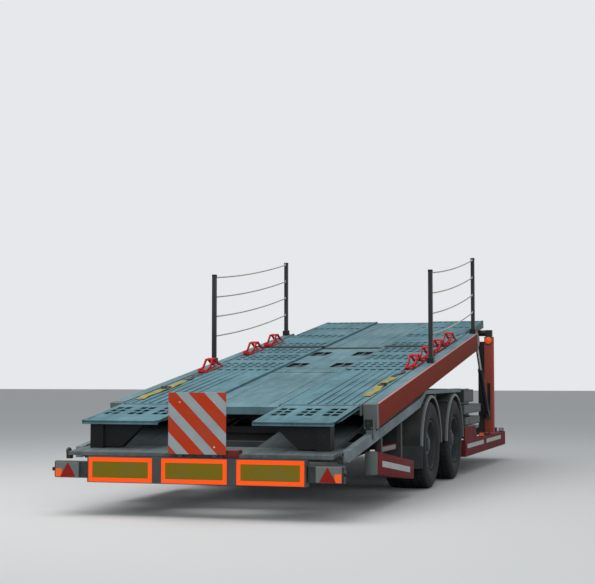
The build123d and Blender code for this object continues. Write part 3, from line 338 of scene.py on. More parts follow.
dress(black_steel, "air_tanks")
tank_right, tank_run, tank_up = span("air_tanks")
bands = bmesh.new()
for forward, up in zip(within(tank_run, TANK_R), within(tank_up, TANK_R)):
    for across in within(tank_right, BAND_INSET):
        left, right = about(across, BAND_W)
        spun(bands, [(left, TANK_R - BAND_T), (left, TANK_R + BAND_T), (right, TANK_R + BAND_T),
                     (right, TANK_R - BAND_T)], 24, move=at((0, forward, up)))
settle("tank_bands", bands, [dark_steel], "dark_steel")

# Tyres: one wide tyre at each axle end. Moulded black rubber with four grooves round the
# tread, cross cuts in its ribs, and side walls that bulge over the rim.
TREAD_STEPS = 96
# columns: distance in from the side wall's widest point, radius as a share of the tyre's
SIDE_WALL = [(0.044, 0.564), (0.030, 0.590), (0.018, 0.611), (0.008, 0.665), (0.002, 0.740), (0.0, 0.809),
             (0.004, 0.872), (0.010, 0.890), (0.009, 0.908), (0.016, 0.953), (0.028, 0.985), (0.040, 0.996)]
# columns: distance in from the side wall, radius as a share of the tyre's
TREAD = [(0.092, 0.998), (0.096, 0.970), (0.106, 0.970), (0.110, 0.999),
         (0.160, 0.9995), (0.164, 0.970), (0.174, 0.970), (0.178, 1.0)]
RIBS_PER_METRE = 20
RIB_SHARE = 0.992
RIB_AREA = 0.001
CUT_MARGIN = 0.004
CUT_DEPTH = 0.007
WHEELS = [(axle, side, facing) for axle in ("rear", "front") for side, facing in (("right", 1), ("left", -1))]


def step_of(centre, steps):
    """Which of the equal steps round the x axis a face's centre lies in."""
    return int(atan2(centre.z, centre.y) % (2 * pi) / (2 * pi) * steps)


def settle_wheel(kind, work, coats, smooth, axle, side, facing):
    """Puts a tyre or rim, drawn for the right side, round the middle of its wheel."""
    node = f"{kind}s_{axle}_{side}"
    hub = at((0, sum(span(node)[1]) / 2, wheel_r))
    bmesh.ops.scale(work, vec=(facing, 1, 1), verts=work.verts)
    settle(f"{kind}_{axle}_{side}", work, coats, kind, [node], smooth, TRAILER @ hub, f"wheel_{axle}_{side}")


tyre_rubber = rubber_coat("tyre_rubber", (0.011, 0.013, 0.014), 0.28)
for axle, side, facing in WHEELS:
    inner, outer = span(f"tyres_{axle}_right")[0]
    half = [(inset, share * wheel_r) for inset, share in SIDE_WALL + TREAD]
    outline = [(outer - inset, r) for inset, r in half] + [(inner + inset, r) for inset, r in reversed(half)]
    tyre = bmesh.new()
    cuts = []
    for face in spun(tyre, outline, TREAD_STEPS):
        centre = face.calc_center_median()
        rib = int((centre.x - inner) * RIBS_PER_METRE)
        on_rib = hypot(centre.y, centre.z) > wheel_r * RIB_SHARE and face.calc_area() > RIB_AREA
        if on_rib and (step_of(centre, TREAD_STEPS) + rib) % 2:
            cuts.append(face)
    bmesh.ops.inset_individual(tyre, faces=cuts, thickness=CUT_MARGIN, depth=-CUT_DEPTH)
    settle_wheel("tyre", tyre, [tyre_rubber], 28, axle, side, facing)

# Rims: pressed steel discs welded deep inside their barrels, with ten hand holes, ten wheel
# nuts and the hub's cap in the middle. Grey paint, dark with brake dust and a little rusty.
# columns: distance in from the rim's outer face, radius
RIM_SHAPE = [(0.019, 0.0), (0.019, 0.062), (0.023, 0.070), (0.034, 0.074), (0.036, 0.104), (0.041, 0.110),
             (0.092, 0.116), (0.106, 0.128), (0.108, 0.140), (0.108, 0.184), (0.103, 0.192), (0.072, 0.224),
             (0.064, 0.231), (0.018, 0.236), (0.006, 0.238), (0.0, 0.241), (0.0, 0.246), (0.003, 0.2495),
             (0.396, 0.2495), (0.405, 0.246), (0.402, 0.240), (0.380, 0.236), (0.110, 0.232), (0.125, 0.200),
             (0.125, 0.130), (0.160, 0.120), (0.160, 0.0425), (0.040, 0.0425), (0.040, 0.0)]
RIM_STEPS = 40
# radii between which the middle of a face that gets a hand hole lies
HOLE_RING = (0.202, 0.214)
DISH_DEPTH = 0.1
HOLE_EDGE = 0.0035
HOLE_TAPER = 0.001
HOLE_DEPTH = 0.025
NUT_COUNT = 10
NUT_RING_R = 0.162
NUT_SEAT = 0.108
NUT_TAPER = 0.93
# columns: radius, height, number of sides of a wheel nut and of the stud in it
NUT_PARTS = [(0.017, 0.026, 6), (0.010, 0.042, 10)]


def wheel_paint():
    """Grey wheel paint, darkened by brake dust, with specks of rust."""
    coat = new_coat("wheel_paint")
    cloud, fine = coat.grain(9, 5), coat.grain(70, 3)
    dirty = (cloud * 0.7 + fine * 0.4).between(0.35, 0.8)
    rust = (coat.grain(26, 5) * 0.7 + cloud * 0.3).between(0.56, 0.62) * 0.7
    paint = coat.mixed(dirty, (0.040, 0.058, 0.064), (0.018, 0.025, 0.026))
    return coat.show(coat.mixed(rust, paint, (0.075, 0.038, 0.022)), dirty * 0.3 + 0.42, fine, 0.0005,
                     specular=0.3)


def bright_bolt_steel():
    """Plated nuts and pins, scratched and a little rusty."""
    coat = new_coat("bolt_steel")
    cloud = coat.grain(45, 4)
    tone = coat.mixed(cloud.between(0.4, 0.7), (0.60, 0.62, 0.60), (0.34, 0.28, 0.22))
    return coat.show(tone, cloud * 0.3 + 0.28, cloud, 0.0004, 0.15)


rim_paint, bolt_steel = wheel_paint(), bright_bolt_steel()
for axle, side, facing in WHEELS:
    inner, outer = span(f"rims_{axle}_right")[0]
    rim = bmesh.new()
    holes = []
    for face in spun(rim, [(outer - inset, r) for inset, r in RIM_SHAPE], RIM_STEPS):
        centre = face.calc_center_median()
        on_ring = HOLE_RING[0] < hypot(centre.y, centre.z) < HOLE_RING[1]
        in_dish = centre.x > outer - DISH_DEPTH
        if on_ring and in_dish and step_of(centre, RIM_STEPS) % (RIM_STEPS // NUT_COUNT) == 0:
            holes.append(face)
    # Each hand hole is a blind pocket lined in black: painted shade where a through hole would show dark.
    bmesh.ops.inset_individual(rim, faces=holes, thickness=HOLE_EDGE, depth=0)
    bmesh.ops.inset_individual(rim, faces=holes, thickness=HOLE_TAPER, depth=-HOLE_DEPTH)
    for face in holes:
        face.material_index = 1
    for count in range(NUT_COUNT):
        lean = Matrix.Rotation((count + 0.5) * 2 * pi / NUT_COUNT + pi / RIM_STEPS, 4, "X")
        for radius, height, sides in NUT_PARTS:
            seat = at((outer - NUT_SEAT + height / 2, 0, NUT_RING_R), 90, "Y")
            nut = bmesh.ops.create_cone(rim, cap_ends=True, segments=sides, radius1=radius,
                                        radius2=radius * NUT_TAPER, depth=height, matrix=lean @ seat)["verts"]
            for face in {face for vert in nut for face in vert.link_faces}:
                face.material_index = 2
    settle_wheel("rim", rim, [rim_paint, black_steel, bolt_steel], 30, axle, side, facing)

# Mudguards: a half round of moulded black plastic over each wheel, with a stiff lip turned
# down along both edges, grey outside, on two square stays. A rubber flap hangs behind.
GUARD_STEPS = 36
GUARD_SKIN = 0.009
GUARD_LIP = 0.026
GUARD_LIP_W = 0.024
STAY_LEAN = 35
STAY_SIDE = 0.028
# how much the edges of thin plates, of flat bars and of thick bars are eased
THIN_EASE, FLAT_EASE, THICK_EASE = 0.002, 0.003, 0.004


def ease_edges(work, edges, offset, segments=1, coat=-1):
    """Eases edges. The new faces take the finish given, or at -1 that of their neighbours."""
    bmesh.ops.bevel(work, geom=list(edges), offset=offset, offset_type="OFFSET", affect="EDGES",
                    segments=segments, profile=0.5, material=coat)


def bar(work, right, forward, up, coat=0, ease=0.0, move=None):
    """A bar or plate between two limits each way, its edges eased by a small flat."""
    limits = (right, forward, up)
    middle = Vector([(low + high) / 2 for low, high in limits])
    size = Vector([high - low for low, high in limits])
    old = set(work.faces)
    block = bmesh.ops.create_cube(work, size=1, matrix=Matrix.LocRotScale(middle, None, size))["verts"]
    if ease:
        ease_edges(work, {edge for vert in block for edge in vert.link_edges}, ease)
    return finished(work, old, coat, move)


def plastic_coat(name, colour, roughness):
    """Moulded plastic, paler and duller where it is scuffed and dusty."""
    coat = new_coat(name)
    cloud, fine = coat.grain(5, 5), coat.grain(90, 3)
    scuffed = (cloud * 0.7 + fine * 0.3 + coat.facing_up() * 0.12).between(0.42, 0.8) * 0.6
    return coat.show(coat.mixed(scuffed, colour, ROAD_DUST), scuffed * 0.3 + roughness, fine, 0.0004,
                     specular=0.25)


guard_plastic = plastic_coat("guard_plastic", (0.030, 0.034, 0.035), 0.5)
guard_lip = plastic_coat("guard_lip", (0.20, 0.23, 0.235), 0.48)
guard_r = span("mudguards")[2][1] - wheel_r
skin, lip_r = guard_r - GUARD_SKIN, guard_r - GUARD_LIP
guards = bmesh.new()
for axle in ("rear", "front"):
    (inner, outer), run = span(f"tyres_{axle}_right")[:2]
    lip_x = outer - GUARD_LIP_W
    outline = [(inner, guard_r), (lip_x, guard_r), (outer - 0.008, guard_r), (outer, guard_r - 0.006),
               (outer, lip_r), (outer - 0.007, lip_r), (outer - 0.009, skin), (lip_x, skin),
               (inner + 0.008, skin), (inner + 0.006, lip_r), (inner, lip_r)]
    old = set(guards.faces)
    section = guards.faces.new([guards.verts.new((x, radius, 0)) for x, radius in outline])
    bmesh.ops.spin(guards, geom=[section, *section.edges, *section.verts], cent=(0, 0, 0), axis=(1, 0, 0),
                   angle=pi, steps=GUARD_STEPS, use_merge=False, use_duplicate=False)
    made = [face for face in guards.faces if face not in old]
    for face in made:
        if face.calc_center_median().x > lip_x:
            face.material_index = 2
    for lean in (-STAY_LEAN, STAY_LEAN):
        made += bar(guards, (span("frame_beams")[0][1], outer - 0.03), about(0, STAY_SIDE),
                    (guard_r - 0.001, guard_r - 0.001 + STAY_SIDE), 1, FLAT_EASE, at((0, 0, 0), lean))
    turn_onto(guards, made, at((0, sum(run) / 2, wheel_r)))
to_both_sides(guards)
settle("mudguard_shells", guards, [guard_plastic, dark_steel, guard_lip], "guard_plastic", ["mudguards"],
       smooth=30)
dress(rubber_coat("flap_rubber", (0.048, 0.057, 0.058), 0.9), "mudflaps")

# Lower deck: folded and hot-dip galvanised wheel tracks that rise over the wheels, the rear
# platform, the side rails that carry its edges, and the black rests of the ramps, each with
# a tapered gusset welded to its inner side. The tracks, rests and gussets are darker than
# grime and paint make them: painted shade, for they lie under the upper deck and the ramps.
ACROSS = Matrix(((0, 1, 0, 0), (1, 0, 0, 0), (0, 0, 1, 0), (0, 0, 0, 1)))
REST_W = 0.120
GUSSET_IN = (0.780, 0.600)
GUSSET_RISE = (0.012, 0.022)
GUSSET_END = 0.020


def worn_zinc(name, pale, dark, grit):
    """Hot-dip zinc gone grey: fine crystals, water streaks and patches of grit."""
    coat = new_coat(name)
    spangle = coat.cells(55.0)
    cloud, fine = coat.grain(1.3, 6), coat.grain(95, 3)
    streak = coat.grain(5, 5, (3.0, 0.35, 1.0))
    stain = (streak * 0.6 + cloud * 0.5).between(0.42, 0.78)
    gritty = (cloud * 0.5 + coat.grain(14, 5) * 0.6).between(0.5, 0.78) * grit
    tone = coat.mixed(stain * 0.85 + spangle * 0.12, pale, dark)
    return coat.show(coat.mixed(gritty, tone, (0.062, 0.078, 0.078)), stain * 0.15 + gritty * 0.15 + 0.58,
                     fine + spangle * 0.4, 0.0005, specular=0.15)


def drawn_points(drawn):
    """The points among what an operation has drawn out."""
    return [item for item in drawn["geom"] if isinstance(item, bmesh.types.BMVert)]


def prism(work, outline, limits, coat=0, move=None):
    """An outline of (forward, up) points, drawn out between two places to the right."""
    old = set(work.faces)
    start = work.faces.new([work.verts.new((limits[0], forward, up)) for forward, up in outline])
    drawn = bmesh.ops.extrude_face_region(work, geom=[start])
    bmesh.ops.translate(work, vec=(limits[1] - limits[0], 0, 0), verts=drawn_points(drawn))
    return finished(work, old, coat, move)


zinc_dull = worn_zinc("zinc_dull", (0.165, 0.20, 0.205), (0.07, 0.088, 0.09), 0.7)
zinc_rail = worn_zinc("zinc_rail", (0.24, 0.30, 0.315), (0.13, 0.165, 0.175), 0.4)
# Grimy zinc that is also painted shade: for the lower tracks under the upper deck, and for the dark pans and
# plates seen through holes in the upper deck.
zinc_grime_and_shade = worn_zinc("zinc_grime_and_shade", (0.075, 0.094, 0.098), (0.035, 0.045, 0.047), 0.8)
# Near-black for the ramp rests and their gussets: partly black paint, partly painted shade under the ramps.
rest_black_and_shade = chassis_paint("rest_black_and_shade", (0.008, 0.011, 0.012), 0.15, 0.55)
dress(zinc_grime_and_shade, "lower_tracks")
dress(zinc_dull, "rear_platform")
dress(zinc_rail, "lower_rails")
dress(dark_steel, "rear_crossbeam")
dress(rest_black_and_shade, "deck_rests")
rest_right, rest_run, rest_up = span("deck_rests")
gusset_low, gusset_high = within(rest_up, *GUSSET_RISE)
gusset_out = rest_right[1] - REST_W + 0.002
gussets = bmesh.new()
prism(gussets, [(gusset_out, gusset_low), (gusset_out, gusset_high), (GUSSET_IN[1], gusset_high),
                (GUSSET_IN[1], gusset_high - 0.02), (GUSSET_IN[0], gusset_low)],
      within(rest_run, GUSSET_END), 0, ACROSS)
to_both_sides(gussets)
settle("rest_gussets", gussets, [rest_black_and_shade], "dark_steel")

# Tail fittings: a black steel lashing hook with a ring on the rear end of each rail, and a
# red tow plate on the platform's rear edge, right of its middle. They are bolted on.
HOOK_S = 0.165
HOOK_W = 0.048
HOOK_L = 0.040
HOOK_UP = (0.455, 0.515)
TOW_PLATE = ((0.235, 0.365), (0.046, 0.150), (0.488, 0.552))


def eye_outline(radius, half_w, half_t):
    """The section of a ring of round bar, as an outline with eight points."""
    return [(half_w * cos(count * pi / 4), radius + half_t * sin(count * pi / 4)) for count in range(8)]


hook_red = plastic_coat("hook_red", (0.16, 0.012, 0.014), 0.4)
rail_out = span("lower_rails")[0][1]
tail = bmesh.new()
bar(tail, (rail_out - 0.002 - HOOK_W, rail_out - 0.002), about(HOOK_S, HOOK_L), HOOK_UP, 0, THICK_EASE)
spun(tail, eye_outline(0.026, 0.014, 0.008), 24, 0, at((rail_out - 0.020, HOOK_S - 0.004, HOOK_UP[1])))
to_both_sides(tail)
bar(tail, *TOW_PLATE, 1, THICK_EASE)
settle("tail_fittings", tail, [black_steel, hook_red], "dark_steel", smooth=40)

# Marker plates: three aluminium plates across the tail, each faced with an orange reflective
# border round a yellow field, and riveted to the cross beam at its corners.
BORDER = 0.048
SHEET_STEP = 0.0008
PLATE_GAP = 0.083
RIVET = [(0, 0), (0.0012, 0.0036), (0.002, 0.006), (0.004, 0.006), (0.004, 0)]


def reflective_sheet(name, colour, glow=0.0):
    """Prism sheeting: tiny bright cells behind a clear face, a little dirty. A glow given here is painted
    light, since the sheeting holds no lamp.
    """
    coat = new_coat(name)
    cell = coat.cells(260.0)
    dirt = (coat.grain(7, 5) * 0.8 + coat.grain(60, 3) * 0.3).between(0.5, 0.95) * 0.3
    tone = coat.mixed(cell * 0.22, colour, shaded(colour, 0.72))
    return coat.show(coat.mixed(dirt, tone, ROAD_DUST), dirt * 0.4 + 0.32, cell, 0.0003, specular=0.2,
                     glow=(colour, glow))


# The orange border glows, and the yellow field faintly: painted light on sheeting that holds no lamp.
orange_sheet = reflective_sheet("orange_sheet", (0.98, 0.085, 0.004), 0.40)
yellow_sheet = reflective_sheet("yellow_sheet", (0.205, 0.150, 0.001), 0.04)
marker_right, marker_run, marker_up = span("marker_plates")
plate_w = (marker_right[1] - marker_right[0] - 2 * PLATE_GAP) / 3
plates = bmesh.new()
for count in range(3):
    left = marker_right[0] + count * (plate_w + PLATE_GAP)
    plate_x = (left, left + plate_w)
    front = [face for face in bar(plates, plate_x, marker_run, marker_up) if face.normal.y < -0.9]
    bmesh.ops.inset_individual(plates, faces=front, thickness=BORDER, depth=-SHEET_STEP)
    front[0].material_index = 1
    for across in within(plate_x, BORDER / 2):
        for up in within(marker_up, BORDER / 2):
            spun(plates, RIVET, 12, 2, at((across, marker_run[0], up), 90, "Z"))
settle("marker_sheets", plates, [orange_sheet, yellow_sheet, bolt_steel], "marker", ["marker_plates"])

# Tail lamps: a moulded dark housing at each rear corner, with a pale lens over its outer
# part, a red reflector triangle raised on it, an orange corner and a rubber stub arm.
LAMP_GAP = 0.0195
STUB_L = 0.025
# columns: reach past the housing, radius
STUB = [(-0.02, 0), (-0.02, 0.011), (0.006, 0.012), (0.012, 0.016), (0.022, 0.016), (STUB_L, 0.012),
        (STUB_L, 0)]
LAMP_EASE = 0.006
LENS_X = (1.022, 1.235)
LENS_MARGIN = (0.006, 0.008)
LENS_DEPTH = 0.008
ORANGE_X = 1.178
ORANGE_H = 0.070
TRIANGLE_X = 1.120
TRIANGLE_W = 0.138


def lens_coat(name, colour, glow):
    """A clear moulding over a dim lamp: colour in the plastic and fine ribs inside."""
    coat = new_coat(name)
    ribs = (coat.axis(coat.place(), "X") / 0.009).fraction().between(0.1, 0.9)
    film = coat.grain(18, 5).between(0.45, 0.8) * 0.12
    tone = coat.mixed(ribs * 0.3, colour, shaded(colour, 0.6))
    return coat.show(coat.mixed(film, tone, ROAD_DUST), film * 0.5 + 0.16, ribs, 0.0008, specular=0.2,
                     glow=(colour, glow))


housing_plastic = plastic_coat("housing_plastic", (0.018, 0.026, 0.028), 0.40)
clear_lens = lens_coat("clear_lens", (0.175, 0.198, 0.180), 0.0)
red_lens = lens_coat("red_lens", (0.30, 0.008, 0.005), 0.08)
amber_lens = lens_coat("amber_lens", (0.90, 0.115, 0.012), 0.30)
lamp_right, lamp_run, lamp_up = span("tail_lamps")
lamp_in, lamp_out = marker_right[1] + LAMP_GAP, lamp_right[1] - STUB_L
lens_up = within(lamp_up, *LENS_MARGIN)
orange_up = (lens_up[0] + 0.003, lens_up[0] + ORANGE_H)
left, right = about(TRIANGLE_X, TRIANGLE_W)
lamps = bmesh.new()
bar(lamps, (lamp_in, lamp_out), (LENS_DEPTH + 0.012, lamp_run[1]), lamp_up, 0, LAMP_EASE)
bar(lamps, (LENS_X[0] - 0.006, lamp_out - 0.004), (LENS_DEPTH, LENS_DEPTH + 0.02), within(lamp_up, 0.003), 0,
    LAMP_EASE)
bar(lamps, LENS_X, (LENS_DEPTH / 2, LENS_DEPTH + 0.002), lens_up, 1, FLAT_EASE)
bar(lamps, (ORANGE_X, LENS_X[1] - 0.003), (LENS_DEPTH / 2 - 0.0008, LENS_DEPTH), orange_up, 3)
prism(lamps, [(left, lens_up[0] + 0.002), (right, lens_up[0] + 0.002), (TRIANGLE_X, lens_up[1] - 0.002)],
      (0, LENS_DEPTH), 2, ACROSS)
stub = [(lamp_out + reach, radius) for reach, radius in STUB]
spun(lamps, stub, 20, 4, at((0, (LENS_DEPTH + lamp_run[1]) / 2, sum(lamp_up) / 2)))
to_both_sides(lamps)
settle("tail_lamp_clusters", lamps, [housing_plastic, clear_lens, red_lens, amber_lens, rubber], "lamp",
       ["tail_lamps"], smooth=35)

# Warning board: a square aluminium panel with red and white reflective stripes, bolted to
# two upright flats on the cross beam, left of its middle.
STRIPE_PITCH = 0.245
RED_SHARE = 0.565
STRIPE_START = -0.0735
PANEL_T = 0.008
FLAT_W = 0.04
FLAT_SPACING = 0.30
BOLT = [(0, 0), (0.001, 0.007), (0.004, 0.009), (0.006, 0.009), (0.006, 0)]


def striped_sheet(left, top):
    """Red and white stripes that fall from the board's top left to its bottom right."""
    coat = new_coat("striped_sheet")
    across, up = coat.axis(coat.place(), "X"), coat.axis(coat.place(), "Z")
    band = ((up - across - (left + top + STRIPE_START)) / STRIPE_PITCH).fraction()
    dirt = (coat.grain(6, 5) * 0.8 + coat.grain(50, 3) * 0.3).between(0.48, 0.95) * 0.35
    white_part = band.between(RED_SHARE - 0.004, RED_SHARE + 0.004)
    tone = coat.mixed(white_part, (0.50, 0.038, 0.004), (0.34, 0.395, 0.415))
    return coat.show(coat.mixed(dirt, tone, ROAD_DUST), dirt * 0.4 + 0.35, coat.grain(300, 2), 0.0003,
                     specular=0.2)


board_right, board_run, board_up = span("warning_board")
board_low = board_up[1] - (board_right[1] - board_right[0])
board = bmesh.new()
bar(board, board_right, (board_run[0], board_run[0] + PANEL_T), (board_low, board_up[1]), 0, THIN_EASE)
for across in about(sum(board_right) / 2, FLAT_SPACING):
    bar(board, about(across, FLAT_W), within(board_run, PANEL_T, 0), within(board_up, 0, 0.04), 1,
        THIN_EASE)
    for up in (board_low + 0.06, board_up[1] - 0.08):
        spun(board, BOLT, 12, 2, at((across, board_run[0] - 0.003, up), 90, "Z"))
settle("striped_board", board, [striped_sheet(board_right[0], board_up[1]), dark_steel, bolt_steel], "board",
       ["warning_board"])

# Side guards: a red sheet-steel box along each side behind the wheels, rising to the rear,
# with a grey rounded end cap and a white reflective strip. A red panel hangs inside it.
# columns: distance from the rear face, bottom and top height of the box there
GUARD_BACK, GUARD_FRONT = (1.12, 0.300, 0.500), (2.60, 0.160, 0.335)
GUARD_T = 0.11
STRIP_T = 0.0015
STRIP_H = 0.052
STRIP_RUN = (1.30, 2.42)
FOLD_EASE, PANEL_EASE = 0.006, 0.005
# columns: distance from the rear face, top height
HANGERS = [(1.50, 0.600), (2.30, 0.7088)]
PANEL_X, PANEL_RUN, PANEL_UP = (0.960, 1.010), (2.200, 2.960), (0.420, 0.490)
END_CAP = [(0, 0), (0, 0.045), (0.006, 0.053), (0.012, 0.0548), (0.188, 0.0548), (0.194, 0.053), (0.2, 0.045),
           (0.2, 0)]


def road_red(name, colour, dust):
    """Orange red lacquer gone chalky: pale edges on top, stone chips and grey road film."""
    coat = new_coat(name)
    cloud, fine = coat.grain(2.2, 6), coat.grain(55, 4)
    splash = coat.axis(coat.place(), "Z").between(1.2, 0.1) * coat.grain(7, 5)
    chalk = (coat.facing_up() * 0.5 + cloud * 0.55).between(0.35, 0.85) * 0.35
    film = (splash * dust + coat.grain(3, 6, (1, 0.3, 2.5)) * 0.35).between(0.2, 0.75) * 0.45
    chips = (fine * 0.65 + cloud * 0.35).between(0.655, 0.68) * 0.6
    tone = coat.mixed(chalk, colour, shaded(colour, 1.25, 0.03))
    worn = coat.mixed(chips, tone, (0.09, 0.05, 0.04))
    return coat.show(coat.mixed(film, worn, (0.095, 0.030, 0.022)), film * 0.25 + chalk * 0.2 + 0.55,
                     fine, 0.0004, specular=0.03)


guard_red = road_red("guard_red", (0.185, 0.026, 0.033), 0.7)
beam_red = road_red("beam_red", (0.215, 0.024, 0.008), 0.3)
white_strip = reflective_sheet("white_strip", (0.48, 0.50, 0.49))
cap_grey = plastic_coat("cap_grey", (0.115, 0.145, 0.135), 0.5)
guard_out = span("side_guards")[0][1]
boxes = bmesh.new()
made = prism(boxes, [(GUARD_BACK[0], GUARD_BACK[1]), (GUARD_BACK[0], GUARD_BACK[2]),
                     (GUARD_FRONT[0], GUARD_FRONT[2]), (GUARD_FRONT[0], GUARD_FRONT[1])],
             (guard_out - GUARD_T, guard_out))
ease_edges(boxes, {edge for face in made for edge in face.edges}, FOLD_EASE, 2)
spun(boxes, END_CAP, 28, 2, at((guard_out - GUARD_T / 2, GUARD_BACK[0], GUARD_BACK[1]), -90, "Y"))
top_slope = (GUARD_FRONT[2] - GUARD_BACK[2]) / (GUARD_FRONT[0] - GUARD_BACK[0])
strip_low = [sum(GUARD_BACK[1:]) / 2 + top_slope * (end - GUARD_BACK[0]) - 0.02 for end in STRIP_RUN]
prism(boxes, [(STRIP_RUN[0], strip_low[0]), (STRIP_RUN[0], strip_low[0] + STRIP_H),
              (STRIP_RUN[1], strip_low[1] + STRIP_H), (STRIP_RUN[1], strip_low[1])],
      about(guard_out, 2 * STRIP_T), 1)
for forward, top in HANGERS:
    bar(boxes, (guard_out - 0.10, guard_out - 0.06), (forward, forward + 0.06), (GUARD_FRONT[2], top), 3,
        FLAT_EASE)
bar(boxes, PANEL_X, PANEL_RUN, PANEL_UP, 0, PANEL_EASE)
bar(boxes, about(PANEL_X[1], 2 * STRIP_T), within(PANEL_RUN, 0.08, 0.10), within(PANEL_UP, 0.012, 0.014), 1)
to_both_sides(boxes)
settle("side_guard_boxes", boxes, [guard_red, white_strip, cap_grey, black_steel], "red_paint",
       ["side_guards"], smooth=30)

# Front sills: red box sections along each side from the wheels to the front end, with a
# panel that rises behind the wheels, reflective strips and a small amber side lamp.
SILL_T = 0.11
SILL_H = 0.18
RISE_L = 0.87
RISE_INSET = (0.030, 0.010)
# columns: start and end, from the sill's rear end
SILL_STRIPS = [(0.10, 1.28), (1.50, 2.70)]
# columns: distance from the rear face, finish of the lens
SIDE_LAMPS = [(6.78, 2), (8.43, 1)]
sill_right, sill_run, sill_up = span("front_sills")
sill_out, sill_top = sill_right[1], sill_up[0] + SILL_H
panel_rise = sill_up[1] - sill_up[0] - SILL_H
sills = bmesh.new()
bar(sills, (sill_out - SILL_T, sill_out), sill_run, (sill_up[0], sill_top), 0, FOLD_EASE)
prism(sills, [(sill_run[0], sill_top), (sill_run[0], sill_up[1]),
              (sill_run[0] + RISE_L - panel_rise, sill_up[1]), (sill_run[0] + RISE_L, sill_top)],
      (sill_out - RISE_INSET[0], sill_out - RISE_INSET[1]))
for start, stop in SILL_STRIPS:
    bar(sills, about(sill_out, 2 * STRIP_T), (sill_run[0] + start, sill_run[0] + stop),
        (sill_top - 0.085, sill_top - 0.035), 1)
for forward, lens in SIDE_LAMPS:
    bar(sills, (sill_out - 0.065, sill_out - 0.005), (forward + 0.004, forward + 0.07),
        (sill_top - 0.002, sill_top + 0.052), 3, THICK_EASE)
    bar(sills, (sill_out - 0.060, sill_out - 0.010), (forward - 0.004, forward + 0.02),
        (sill_top + 0.006, sill_top + 0.046), lens, PANEL_EASE)
to_both_sides(sills)
settle("sill_boxes", sills, [guard_red, white_strip, amber_lens, housing_plastic], "red_paint",
       ["front_sills"], smooth=30)

# Control boxes: a sheet-steel shelf and back plate behind each column with three boxes for
# the valves of the hydraulics. Painted grey; doors with seams, an opening and three levers.
SHELF_T = 0.012
SHELF_FRONT = 6.187
BACK_PLATE_W = 0.190
BOX_W = 0.150
BOX_EASE = 0.008
# columns: back, front, lift above the shelf, height, finish
BOXES = [(5.680, 6.700, 0.0, 0.095, 0), (5.600, 6.780, 0.140, 0.105, 0), (5.580, 6.240, 0.275, 0.150, 1)]
# columns: width and depth of each step round a door
SEAM = [(0.006, 0), (0.002, -0.003), (0.002, 0.003)]
OPENING_RUN, OPENING_LIFT = (5.900, 5.990), (0.018, 0.078)
LEVER_S, LEVER_PITCH = 5.670, 0.055
LEVER = [(0, 0), (0, 0.005), (0.024, 0.004), (0.026, 0.009), (0.034, 0.010), (0.038, 0.006), (0.039, 0)]
grey_steel = chassis_paint("grey_steel", (0.155, 0.190, 0.185), 0.45, 0.42)
box_green = chassis_paint("box_green", (0.085, 0.107, 0.103), 0.35, 0.42)
box_dark = chassis_paint("box_dark", (0.036, 0.047, 0.046), 0.35, 0.42)
box_right, box_run, box_up = span("control_boxes")
back_x = box_right[1] - BACK_PLATE_W
box_in, box_out = back_x + SHELF_T, back_x + SHELF_T + BOX_W
shelf_top = box_up[0] + SHELF_T
valves = bmesh.new()
bar(valves, (back_x, box_right[1]), (BOXES[0][0], SHELF_FRONT), (box_up[0], shelf_top), 2, THIN_EASE)
bar(valves, (back_x, box_in), box_run, box_up, 2, THIN_EASE)
doors = []
for back, front, lift, height, coat in BOXES:
    low = shelf_top + lift
    shell = bar(valves, (box_in, box_out), (back, front), (low, low + height), coat, BOX_EASE)
    doors += [face for face in shell if face.normal.x > 0.95]
for edge, depth in SEAM:
    bmesh.ops.inset_individual(valves, faces=doors, thickness=edge, depth=depth)
# The opening is a flat black plate on the door face: painted shade for the hollow behind it.
bar(valves, (box_out - 0.004, box_out + 0.001), OPENING_RUN,
    (shelf_top + OPENING_LIFT[0], shelf_top + OPENING_LIFT[1]), 3)
for count in range(3):
    lever_s = LEVER_S + count * LEVER_PITCH
    spun(valves, LEVER, 10, 3, at((box_out - 0.03, lever_s, shelf_top + 0.094), -90, "Y"))
to_both_sides(valves)
settle("valve_boxes", valves, [box_green, box_dark, grey_steel, black_steel], "grey_steel",
       ["control_boxes"], smooth=30)

# Lift columns: hollow red posts that stand on the sills, each slotted at the back. A round
# amber lamp in a black ring is screwed to its back and a closed black mast stands inside it.
COLUMN_W = 0.11
FOOT_REACH = 0.030
FOOT_T = 0.014
FOOT_BOLT = [(0, 0), (0, 0.010), (0.009, 0.010), (0.010, 0.008), (0.010, 0)]
LAMP_RING = [(0.0, 0.0), (0.0, 0.044), (0.004, 0.050), (0.010, 0.050), (0.012, 0.046), (0.012, 0.0)]
LAMP_DOME = [(0.010, 0.0), (0.010, 0.047), (0.018, 0.045), (0.026, 0.036), (0.031, 0.021), (0.0325, 0.0)]
column_red = road_red("column_red", (0.44, 0.095, 0.070), 0.2)
dress(column_red, "lift_columns")
dress(black_steel, "lift_masts")
column_right, column_run, column_up = span("lift_columns")
column_out, foot_top = column_right[1], column_up[0] + FOOT_T
feet = bmesh.new()
for forward in (column_run[0] - FOOT_REACH, column_run[1]):
    bar(feet, (column_out - COLUMN_W, column_out - 0.004), (forward, forward + FOOT_REACH),
        (column_up[0], foot_top), 0, FLAT_EASE)
    for inset in (0.025, COLUMN_W - 0.025):
        spun(feet, FOOT_BOLT, 6, 1, at((column_out - inset, forward + FOOT_REACH / 2, foot_top), -90, "Y"))
to_both_sides(feet)
settle("column_feet", feet, [column_red, bolt_steel], "red_paint")

